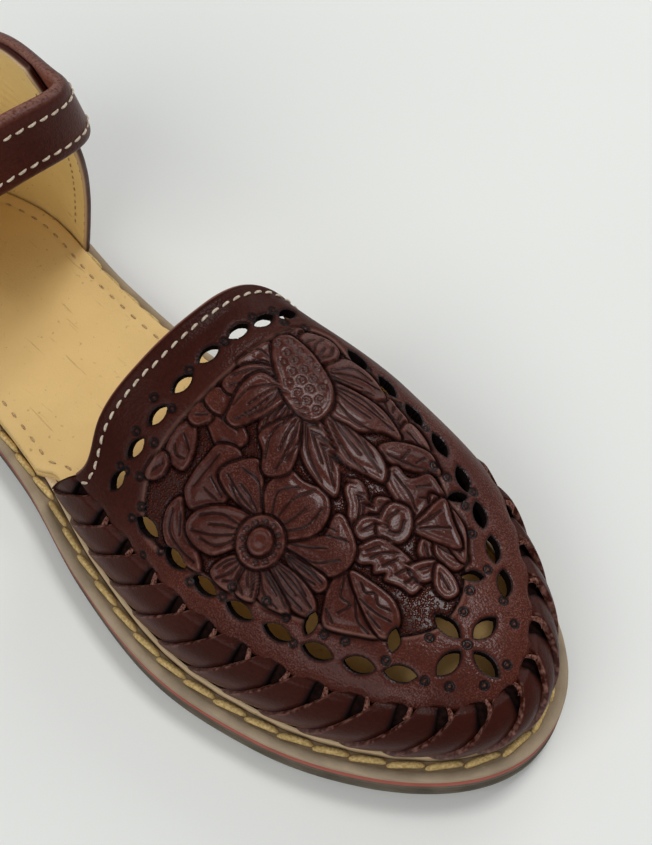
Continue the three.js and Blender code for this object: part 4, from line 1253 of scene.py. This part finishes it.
def counter_grid(extra):
    """The counter's surface: rows up from the sole to under the strap, columns round the heel."""
    side = np.linspace(-1, 1, COUNTER_COLUMNS)
    up = np.linspace(0, 1, COUNTER_ROWS)[:, None]
    z = np.full((COUNTER_ROWS, COUNTER_COLUMNS), float(UPPER_BASE))
    for _ in range(5):
        angle = side * turn_of_share(counter_front(z))
        top = strap_bottom(outline(angle)[..., 0]) + STRAP_WIDTH - COUNTER_BELOW_STRAP
        z = lerp(UPPER_BASE, top, up)
    return counter_point(angle, z, extra)


SEAM_INSET = 4.0
WRINKLE_HEIGHT = 0.09
EDGE_BELLY = 0.45


def lining_wrinkles(points):
    """Height of the shallow slanting wrinkles in the thin lining."""
    x, z = points[..., 0], points[..., 2]
    slant = 1.25 * z + 0.8 * x + 1.3 * np.sin(0.31 * x)
    return WRINKLE_HEIGHT * np.sin(slant) * (1 + np.sin(0.17 * x - 0.23 * z))


def make_counter_edge(outer, inner, edges, leather):
    """The counter's cut edge, a strip that swells between its outer and its inner face."""
    used, index = np.unique(edges, return_inverse=True)
    ends = index.reshape(-1, 2)
    first, last = outer.reshape(-1, 3)[used], inner.reshape(-1, 3)[used]
    middle = outer.reshape(-1, 3).mean(0) * [1, 1, 0] + [0, 0, 50]
    front = unit(np.cross(last - first, SKYWARD))
    front = front * np.sign(((first - middle) * front).sum(1))[:, None]
    shares = np.linspace(0, 1, 6)
    belly = np.sin(shares * math.pi) ** 0.6 * EDGE_BELLY
    count = len(used)
    rows = [lerp(first, last, share) + front * swell for share, swell in zip(shares, belly)]
    strips = [np.column_stack([ends + k * count, ends[:, ::-1] + (k + 1) * count])
              for k in range(len(shares) - 1)]
    pale = np.repeat(step(shares, 0.55, 0.75), count)
    make_piece("counter_edge", np.concatenate(rows), np.concatenate(strips), leather,
               "heel_counter", {"pale": pale})


def lining_seam(grid):
    """Stitches up the lining, beside the edge that the grid's first column follows."""
    away = np.linalg.norm(grid - grid[:, :1], axis=-1)
    column = (away < SEAM_INSET).sum(1)
    rows = np.arange(8, len(grid) - 4)
    path = grid[rows, column[rows]]
    outs = np.tile(unit(np.array([0.0, -np.sign(path[:, 1].mean()), 0.2])), (len(path), 1))
    return stitch_row(path, outs, *LINING_STITCH)


def make_counter(leather, lining, edge_leather, thread):
    """The heel counter's outer face, its wrinkled lining, its cut edge and the lining's two seams."""
    outer = counter_grid(0)
    inner = counter_grid(COUNTER_WALL)
    faces = grid_faces(*outer.shape[:2])
    make_piece("fine_counter", outer, faces, leather, "heel_counter")
    lined = inner - unit(inner - outer) * lining_wrinkles(inner)[..., None]
    make_piece("counter_lining", lined, faces, lining, "heel_counter")
    edges = boundary_edges(faces, outer.shape[0] * outer.shape[1])
    make_counter_edge(outer, inner, edges, edge_leather)
    points, faces = joined([lining_seam(inner), lining_seam(inner[:, ::-1])])
    make_piece("lining_stitches", points, faces, thread)


STRAP_BACK_STEPS = 160
STRAP_FRONT_STEPS = 100
STRAP_STITCH_INSET = 4.2
STRAP_FRONT_SKEW = 4.5
STRAP_FRONT_LIFT = 3.0

# Rounded edge of the strap: share of its width, lift off its inner face, how raw it looks
STRAP_EDGE = ((0, 0, 1), (0, 1.2, 0.7), (0.01, 2.2, 0.4), (0.03, 2.75, 0.15), (0.06, 3.0, 0))
STRAP_SWELL = 0.12
STRAP_TOP_POINTS = 9
STRAP_INNER_POINTS = 5


def strap_ring(height):
    """Inner face of the strap at a share of its width, round from the outer side's join."""
    reach = lerp(STRAP_REACH_BOTTOM, STRAP_REACH_TOP, height)
    join = turn_of_share(STRAP_JOIN)
    angle = np.linspace(join, -join, STRAP_BACK_STEPS + 1)
    z = strap_bottom(outline(angle)[..., 0]) + STRAP_WIDTH * height
    back = counter_point(angle, z, -STRAP_GAP)
    inner, outer = back[-1], back[0]
    share = np.arange(1, STRAP_FRONT_STEPS) / STRAP_FRONT_STEPS
    t = share * math.pi
    reach = reach + STRAP_FRONT_SKEW * np.cos(t)
    x = lerp(inner[0], outer[0], share) + reach * np.sin(t) ** STRAP_ROUND
    y = np.where(t < QUARTER, inner[1], outer[1]) * np.abs(np.cos(t)) ** STRAP_ROUND
    z = strap_bottom(x) + STRAP_WIDTH * height + STRAP_FRONT_LIFT * np.sin(t) ** 2
    return np.concatenate([back, np.stack([x, y, z], -1)])


def strap_path(height):
    """The ring followed round from the buckle and over its own start: points and outward directions."""
    ring = strap_ring(height)
    middle = strap_ring(0.5)[:, 0]
    n = len(ring)
    start = int(np.argmax(middle < sole_x(STRAP_START)))
    end = int(np.argmax(middle < sole_x(STRAP_END)))
    i = np.arange(start, n + end + 1)
    point = ring[i % n]
    out = unit(np.cross(ring[(i - 1) % n] - ring[(i + 1) % n], SKYWARD))
    lap = (i > n / 2 + start) & (point[:, 1] < 0)
    lift = step(-point[:, 0], -sole_x(STRAP_RISE_FROM), -sole_x(STRAP_RISE_TO))
    lift = np.where(lap, lift, 0) * (STRAP_THICK + STRAP_LAP_GAP)
    return point + out * lift[:, None], out


def strap_section():
    """Section of the strap, outer face first: share of the width, lift, how raw, how much suede."""
    edge = np.array(STRAP_EDGE, float)
    top = np.linspace(0.1, 0.9, STRAP_TOP_POINTS)
    swell = STRAP_SWELL * np.sin(np.linspace(0, math.pi, STRAP_TOP_POINTS))
    inside = np.linspace(1, 0, STRAP_INNER_POINTS + 2)[1:-1]
    bare = np.zeros(STRAP_INNER_POINTS)
    shares = np.concatenate([edge[:, 0], top, 1 - edge[::-1, 0], inside])
    lifts = np.concatenate([edge[:, 1], STRAP_THICK + swell, edge[::-1, 1], bare])
    raw = np.concatenate([edge[:, 2], 0 * top, edge[::-1, 2], bare])
    return shares, lifts, raw, (lifts == 0).astype(float)


def make_strap(leather, thread):
    """The buckled strap, its end lapped over its start, and its two rows of stitches."""
    low, low_out = strap_path(0)
    high, high_out = strap_path(1)
    shares, lifts, raw, suede = strap_section()
    lines = [lerp(low, high, s) + unit(lerp(low_out, high_out, s)) * lift for s, lift in zip(shares, lifts)]
    points = np.stack(lines, axis=1)
    looks = {"raw": np.tile(raw, len(points)), "suede": np.tile(suede, len(points))}
    count = points.shape[1]
    faces = grid_faces(*points.shape[:2], closed=True).tolist()
    faces += [list(range(count))[::-1], list(range((len(points) - 1) * count, len(points) * count))]
    make_piece("fine_strap", points, np.array(faces, dtype=object), leather,
               "ankle_strap", looks)
    rows = []
    for share in (STRAP_STITCH_INSET / STRAP_WIDTH, 1 - STRAP_STITCH_INSET / STRAP_WIDTH):
        out = unit(lerp(low_out, high_out, share))
        path = lerp(low, high, share) + out * (STRAP_THICK + 0.08)
        rows.append(stitch_row(path, out, *STRAP_STITCH, twist=0.15))
    stitches, stitch_faces = joined(rows)
    make_piece("strap_stitches", stitches, stitch_faces, thread)


# Materials
class Recipe:
    """A procedural material, built node by node in millimetres of the shoe."""

    def __init__(self, name):
        self.material = bpy.data.materials.new(name)
        self.material.use_nodes = True
        self.tree = self.material.node_tree
        self.shader = self.tree.nodes["Principled BSDF"]
        scale = self.node("ShaderNodeVectorMath")
        scale.operation = "SCALE"
        scale.inputs["Scale"].default_value = 1 / MM
        self.feed(scale.inputs[0], self.node("ShaderNodeTexCoord").outputs["Object"])
        self.place = scale.outputs[0]

    def node(self, kind):
        return self.tree.nodes.new(kind)

    def feed(self, socket, value):
        if isinstance(value, bpy.types.NodeSocket):
            self.tree.links.new(value, socket)
        else:
            socket.default_value = value

    def noise(self, scale, detail, stretch=(1, 1, 1)):
        stretched = self.node("ShaderNodeVectorMath")
        stretched.operation = "MULTIPLY"
        self.feed(stretched.inputs[0], self.place)
        stretched.inputs[1].default_value = stretch
        noise = self.node("ShaderNodeTexNoise")
        noise.inputs["Scale"].default_value = scale
        noise.inputs["Detail"].default_value = detail
        self.feed(noise.inputs["Vector"], stretched.outputs[0])
        return noise.outputs[0]

    def cells(self, scale):
        cells = self.node("ShaderNodeTexVoronoi")
        cells.inputs["Scale"].default_value = scale
        self.feed(cells.inputs["Vector"], self.place)
        return cells.outputs["Distance"]

    def look(self, name):
        """A value that the piece carries at each of its points."""
        attribute = self.node("ShaderNodeAttribute")
        attribute.attribute_name = name
        return attribute.outputs["Fac"]

    def maths(self, operation, first, second):
        node = self.node("ShaderNodeMath")
        node.operation = operation
        self.feed(node.inputs[0], first)
        self.feed(node.inputs[1], second)
        return node.outputs[0]

    def times(self, first, second):
        return self.maths("MULTIPLY", first, second)

    def plus(self, first, second):
        return self.maths("ADD", first, second)

    def ranged(self, value, low, high, to_low=0.0, to_high=1.0):
        node = self.node("ShaderNodeMapRange")
        for socket, number in zip(list(node.inputs)[1:5], (low, high, to_low, to_high)):
            socket.default_value = number
        self.feed(node.inputs[0], value)
        return node.outputs[0]

    def mottle(self, scale, detail, low, high, to_low=0.0, to_high=1.0):
        """Noise spread over a range."""
        return self.ranged(self.noise(scale, detail), low, high, to_low, to_high)

    def blend(self, share, first, second):
        node = self.node("ShaderNodeMix")
        node.data_type = "RGBA"
        self.feed(node.inputs[0], share)
        for socket, colour in zip((node.inputs[6], node.inputs[7]), (first, second)):
            self.feed(socket, (*colour, 1) if isinstance(colour, tuple) else colour)
        return node.outputs[2]

    def finish(self, colour, roughness, relief=None, relief_size=0.1, coat=0.0, gloss=0.15,
               coat_roughness=0.35):
        self.feed(self.shader.inputs["Base Color"], colour)
        self.feed(self.shader.inputs["Roughness"], roughness)
        self.feed(self.shader.inputs["Specular IOR Level"], gloss)
        self.feed(self.shader.inputs["Coat Weight"], coat)
        self.shader.inputs["Coat Roughness"].default_value = coat_roughness
        if relief is not None:
            bump = self.node("ShaderNodeBump")
            bump.inputs["Strength"].default_value = 1.0
            bump.inputs["Distance"].default_value = relief_size * MM
            self.feed(bump.inputs["Height"], relief)
            self.feed(self.shader.inputs["Normal"], bump.outputs[0])
            self.feed(self.shader.inputs["Coat Normal"], bump.outputs[0])
        return self.material


# Colours of the mahogany leather, of the wear, raw edges and burns on it, and of painted shade, painted
# highlights and the bands' painted sheen
LEATHER_DEEP = (0.024, 0.004, 0.002)
LEATHER_MAIN = (0.054, 0.0095, 0.005)
LEATHER_WARM = (0.080, 0.016, 0.008)
LEATHER_SHADE = (0.011, 0.002, 0.001)
WEAR_AND_SHEEN_PALE = (0.20, 0.08, 0.06)
LEATHER_RAW = (0.25, 0.12, 0.09)
CUT_AND_SHADOW_DARK = (0.006, 0.003, 0.003)
BAND_FOOT_SHEEN = (0.11, 0.068, 0.068)
COUNTER_PALE = (0.55, 0.38, 0.22)
WALL_BROWN = (0.02, 0.009, 0.007)

# Colours of the other materials as (light, dark)
SUEDE = ((0.27, 0.09, 0.06), (0.16, 0.045, 0.03))
INSOLE_TAN = ((0.74, 0.51, 0.215), (0.58, 0.38, 0.14))
LINING_TAN = ((0.86, 0.66, 0.29), (0.70, 0.51, 0.20))
WELT_TAN = ((0.72, 0.55, 0.34), (0.5, 0.34, 0.18))
WHITE_THREAD = ((0.72, 0.62, 0.48), (0.42, 0.33, 0.24))
GOLDEN_THREAD = ((0.74, 0.53, 0.23), (0.46, 0.31, 0.11))
TAN_THREAD = ((0.52, 0.36, 0.18), (0.30, 0.19, 0.09))
RIBBED_RUBBER = ((0.17, 0.14, 0.10), (0.09, 0.075, 0.055))
RED_RUBBER = ((0.44, 0.12, 0.09), (0.34, 0.09, 0.065))
RIM_RUBBER = ((0.42, 0.325, 0.22), (0.31, 0.24, 0.16))
AGED_BRASS = ((0.55, 0.40, 0.18), (0.24, 0.16, 0.08))
FLOOR_WHITE = ((0.88, 0.888, 0.845), (0.85, 0.858, 0.815))


def dimmed(colour, share):
    return tuple(channel * share for channel in colour)


def leather_base(recipe):
    """Mottled mahogany, deeper and warmer in soft patches."""
    patches = recipe.mottle(0.035, 3, 0.35, 0.65)
    fine = recipe.mottle(0.9, 4, 0.35, 0.7)
    colour = recipe.blend(patches, LEATHER_MAIN, LEATHER_WARM)
    return recipe.blend(recipe.times(fine, 0.45), colour, LEATHER_DEEP)


def grain(recipe):
    pores = recipe.cells(1.6)
    return recipe.plus(recipe.times(pores, 0.6), recipe.noise(0.8, 5))


def vamp_leather():
    """Tooled leather: dark tool lines, pale edges that are partly wear and partly painted highlight, painted
    glints, painted shade, stippled ground and raw cut edges.
    """
    recipe = Recipe("tooled leather")
    colour = leather_base(recipe)
    # Pale speckles standing for glints on the grain: painted highlights, in soft patches and kept off the
    # painted shade
    glint_speckle = recipe.mottle(2.6, 3, 0.5, 0.6)
    glint_patches = recipe.mottle(0.06, 2, 0.4, 0.6, 0.1, 0.45)
    glint_patches = recipe.times(glint_patches, recipe.ranged(recipe.look("shade"), 0, 0.4, 1, 0.2))
    colour = recipe.blend(recipe.times(glint_speckle, glint_patches), colour, WEAR_AND_SHEEN_PALE)
    stipple = recipe.ranged(recipe.cells(1.25), 0.25, 0.6)
    ground = recipe.blend(stipple, LEATHER_WARM, LEATHER_DEEP)
    colour = recipe.blend(recipe.times(recipe.look("ground"), 0.85), colour, ground)
    # Painted shade from the tooling, with some antique dye in the hollows
    colour = recipe.blend(recipe.times(recipe.look("shade"), 0.85), colour, LEATHER_SHADE)
    # Pale rims and bands beside the cuts: partly wear, partly painted highlight
    wear_and_sheen = recipe.times(recipe.look("wear_and_sheen"), recipe.mottle(0.5, 3, 0.4, 0.7))
    colour = recipe.blend(wear_and_sheen, colour, WEAR_AND_SHEEN_PALE)
    colour = recipe.blend(recipe.look("raw"), colour, LEATHER_RAW)
    colour = recipe.blend(recipe.look("groove"), colour, CUT_AND_SHADOW_DARK)
    pits = recipe.times(recipe.look("ground"), recipe.times(stipple, -5.0))
    smooth_panel = recipe.ranged(recipe.look("panel"), 0, 1, 1, 0.3)
    relief = recipe.plus(recipe.times(grain(recipe), smooth_panel), pits)
    rough = recipe.ranged(recipe.look("panel"), 0, 1, 0.46, 0.27)
    rough = recipe.plus(rough, recipe.mottle(0.12, 4, 0.3, 0.7, 0, 0.12))
    polish = recipe.ranged(recipe.look("panel"), 0, 1, 0.22, 0.3)
    polish = recipe.times(polish, recipe.ranged(recipe.look("shade"), 0, 0.8, 1, 0.1))
    return recipe.finish(colour, rough, relief, 0.10, coat=polish, coat_roughness=0.2, gloss=0.04)


def band_leather():
    """Border leather: raw heel-side edges, painted shade towards the slots and a painted cool sheen on the
    polished lower ends.
    """
    recipe = Recipe("border leather")
    colour = leather_base(recipe)
    # Painted shade away from the foot, painted cool sheen at the foot
    colour = recipe.blend(recipe.ranged(recipe.look("foot"), 0, 0.7, 0.6, 0), colour, LEATHER_DEEP)
    colour = recipe.blend(recipe.times(recipe.look("foot"), 0.6), colour, BAND_FOOT_SHEEN)
    raw = recipe.times(recipe.look("raw"), recipe.mottle(0.7, 3, 0.42, 0.68))
    colour = recipe.blend(raw, colour, LEATHER_RAW)
    # Painted shadow where the band runs under the next one
    colour = recipe.blend(recipe.look("under"), colour, CUT_AND_SHADOW_DARK)
    rough = recipe.mottle(0.15, 4, 0.3, 0.7, 0.3, 0.48)
    polish = recipe.ranged(recipe.look("foot"), 0, 0.8, 0.08, 0.5)
    polish = recipe.times(polish, recipe.ranged(recipe.look("under"), 0, 1, 1, 0))
    return recipe.finish(colour, rough, grain(recipe), 0.08, coat=polish, coat_roughness=0.28, gloss=0.05)


def counter_leather():
    """Mahogany leather without tooling, its cut edge pale towards the lining."""
    recipe = Recipe("counter leather")
    colour = recipe.blend(recipe.look("pale"), leather_base(recipe), COUNTER_PALE)
    rough = recipe.mottle(0.15, 4, 0.3, 0.7, 0.36, 0.55)
    return recipe.finish(colour, rough, grain(recipe), 0.09, gloss=0.2)


def cut_edge_leather():
    """Cut edges: raw and pinkish at the throat, burnt black in the pierced holes."""
    recipe = Recipe("cut edges")
    fibre = recipe.noise(1.8, 4, (1, 1, 0.4))
    raw = recipe.blend(recipe.ranged(fibre, 0.35, 0.65), LEATHER_MAIN, LEATHER_RAW)
    colour = recipe.blend(recipe.look("burnt"), raw, CUT_AND_SHADOW_DARK)
    return recipe.finish(colour, 0.8, fibre, 0.3, gloss=0.05)


def strap_leather():
    """Smooth leather with raw edges, suede on its inner face."""
    recipe = Recipe("strap leather")
    colour = leather_base(recipe)
    fibre = recipe.noise(1.3, 5)
    suede = recipe.blend(recipe.ranged(fibre, 0.35, 0.65), SUEDE[1], SUEDE[0])
    colour = recipe.blend(recipe.look("suede"), colour, suede)
    raw = recipe.times(recipe.look("raw"), recipe.ranged(fibre, 0.3, 0.55))
    colour = recipe.blend(raw, colour, LEATHER_RAW)
    rough = recipe.ranged(recipe.look("suede"), 0, 1, 0.4, 0.9)
    relief = recipe.plus(grain(recipe), fibre)
    return recipe.finish(colour, rough, relief, 0.08, coat=0.12, gloss=0.1)


def border_wall_leather():
    """Nearly black leather behind the bands, its darkness painted shade for the gaps between them."""
    recipe = Recipe("border wall leather")
    fibre = recipe.noise(0.8, 4)
    colour = recipe.blend(recipe.ranged(fibre, 0.3, 0.7), CUT_AND_SHADOW_DARK, WALL_BROWN)
    return recipe.finish(colour, 0.8, fibre, 0.2, gloss=0.02)


def tan_leather(name, light, dark, roughness=0.55):
    """Natural leather with soft stains, pores, small flecks and thin scratches."""
    recipe = Recipe(name)
    stain = recipe.mottle(0.03, 4, 0.35, 0.68)
    colour = recipe.blend(recipe.times(stain, 0.5), light, dark)
    spots = recipe.mottle(0.55, 5, 0.66, 0.74)
    colour = recipe.blend(recipe.times(spots, 0.6), colour, dimmed(dark, 0.45))
    lines = recipe.noise(0.5, 2, (0.12, 2.2, 1))
    scratch = recipe.ranged(lines, 0.70, 0.74)
    colour = recipe.blend(recipe.times(scratch, 0.4), colour, dimmed(dark, 0.6))
    relief = recipe.plus(recipe.noise(1.6, 4), recipe.times(scratch, -0.6))
    return recipe.finish(colour, roughness, relief, 0.09)


def rubber(name, light, dark):
    """Matt foam rubber with faint level streaks."""
    recipe = Recipe(name)
    colour = recipe.blend(recipe.mottle(0.12, 5, 0.3, 0.7), light, dark)
    streaks = recipe.ranged(recipe.noise(0.5, 3, (0.15, 0.15, 3)), 0.4, 0.7)
    colour = recipe.blend(recipe.times(streaks, 0.35), colour, dimmed(dark, 0.6))
    return recipe.finish(colour, 0.75, recipe.noise(1.5, 4), 0.1)


def thread(name, light, dark):
    """Waxed thread, mottled and bumpy like twisted strands."""
    recipe = Recipe(name)
    strands = recipe.noise(1.4, 3)
    colour = recipe.blend(recipe.ranged(strands, 0.35, 0.65), dark, light)
    return recipe.finish(colour, 0.6, strands, 0.25)


def brass():
    recipe = Recipe("aged brass")
    stain = recipe.mottle(0.4, 4, 0.35, 0.7)
    colour = recipe.blend(stain, *AGED_BRASS)
    recipe.shader.inputs["Metallic"].default_value = 1.0
    return recipe.finish(colour, recipe.ranged(stain, 0, 1, 0.25, 0.5), recipe.noise(0.8, 3), 0.03)


# Camera, floor and lights, the last as (name, place, target, size, watts) in metres
FLOOR_REACH = 3.0
WORLD_COLOUR = (0.92, 0.95, 1.0, 1)
WORLD_STRENGTH = 0.33
LIGHTS = (
    ("ceiling", (0.12, 0.69, 1.77), (0, 0, 0), (0.5, 0.5), 10.5),
    ("window", (-0.15, 0.9, 0.55), (0, 0, 0.02), (0.8, 0.5), 2.6),
    ("card", (0.2, -0.95, 1.0), (0, 0, 0), (1.2, 0.8), 7),
)


def make_camera():
    azimuth = math.radians(CAMERA_AZIMUTH)
    elevation = math.radians(CAMERA_ELEVATION)
    flat = math.cos(elevation)
    back = Vector((math.cos(azimuth) * flat, math.sin(azimuth) * flat, math.sin(elevation)))
    right = Vector((0, 0, 1)).cross(back).normalized()
    up = back.cross(right)
    roll = math.radians(CAMERA_ROLL)
    across = right * math.cos(roll) + up * math.sin(roll)
    upward = up * math.cos(roll) - right * math.sin(roll)
    place = (Vector(CAMERA_TARGET) + back * CAMERA_DISTANCE) * MM
    data = bpy.data.cameras.new("camera")
    data.sensor_width = CAMERA_SENSOR
    data.lens = CAMERA_LENS
    data.clip_start = 0.01
    camera = bpy.data.objects.new("camera", data)
    camera.matrix_world = Matrix((
        (across.x, upward.x, back.x, place.x),
        (across.y, upward.y, back.y, place.y),
        (across.z, upward.z, back.z, place.z),
        (0, 0, 0, 1),
    ))
    bpy.context.scene.collection.objects.link(camera)
    bpy.context.scene.camera = camera


def make_stage():
    mesh = bpy.data.meshes.new("floor")
    corners = [(x * FLOOR_REACH, y * FLOOR_REACH, 0) for x, y in ((-1, -1), (1, -1), (1, 1), (-1, 1))]
    mesh.from_pydata(corners, [], [(0, 1, 2, 3)])
    floor = bpy.data.objects.new("floor", mesh)
    bpy.context.scene.collection.objects.link(floor)
    recipe = Recipe("floor")
    shade = recipe.blend(recipe.noise(0.01, 2), FLOOR_WHITE[1], FLOOR_WHITE[0])
    mesh.materials.append(recipe.finish(shade, 0.6))


def area_light(name, place, target, size, power):
    data = bpy.data.lights.new(name, "AREA")
    data.shape = "RECTANGLE"
    data.size, data.size_y = size
    data.energy = power
    light = bpy.data.objects.new(name, data)
    light.location = place
    aim = Vector(target) - Vector(place)
    light.rotation_euler = aim.to_track_quat("-Z", "Y").to_euler()
    bpy.context.scene.collection.objects.link(light)


def make_lights():
    world = bpy.data.worlds.new("studio")
    world.use_nodes = True
    background = world.node_tree.nodes["Background"]
    background.inputs["Color"].default_value = WORLD_COLOUR
    background.inputs["Strength"].default_value = WORLD_STRENGTH
    bpy.context.scene.world = world
    bpy.context.scene.view_settings.view_transform = "Standard"
    for light in LIGHTS:
        area_light(*light)


# The whole sandal
def make_sandal():
    white = thread("off-white thread", *WHITE_THREAD)
    golden = thread("golden thread", *GOLDEN_THREAD)
    tan = thread("tan thread", *TAN_THREAD)
    welt = tan_leather("welt leather", *WELT_TAN)
    lining = tan_leather("lining", *LINING_TAN, roughness=0.65)
    counter = counter_leather()
    vamp_points, vamp_outs = make_vamp(vamp_leather(), cut_edge_leather(), lining)
    make_bands(band_leather(), border_wall_leather())
    make_tabs(cut_edge_leather())
    make_throat_stitches(vamp_points, vamp_outs, white)
    make_sole(rubber("ribbed rubber", *RIBBED_RUBBER), rubber("red rubber", *RED_RUBBER),
              rubber("rim rubber", *RIM_RUBBER), welt, golden)
    make_insole(tan_leather("insole leather", *INSOLE_TAN), tan)
    make_counter(counter, lining, counter, tan)
    make_strap(strap_leather(), white)
    metal = brass()
    for name in ("buckle_frame", "buckle_prong"):
        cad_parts[name].material_slots[0].material = metal


make_camera()
make_stage()
make_lights()
make_sandal()
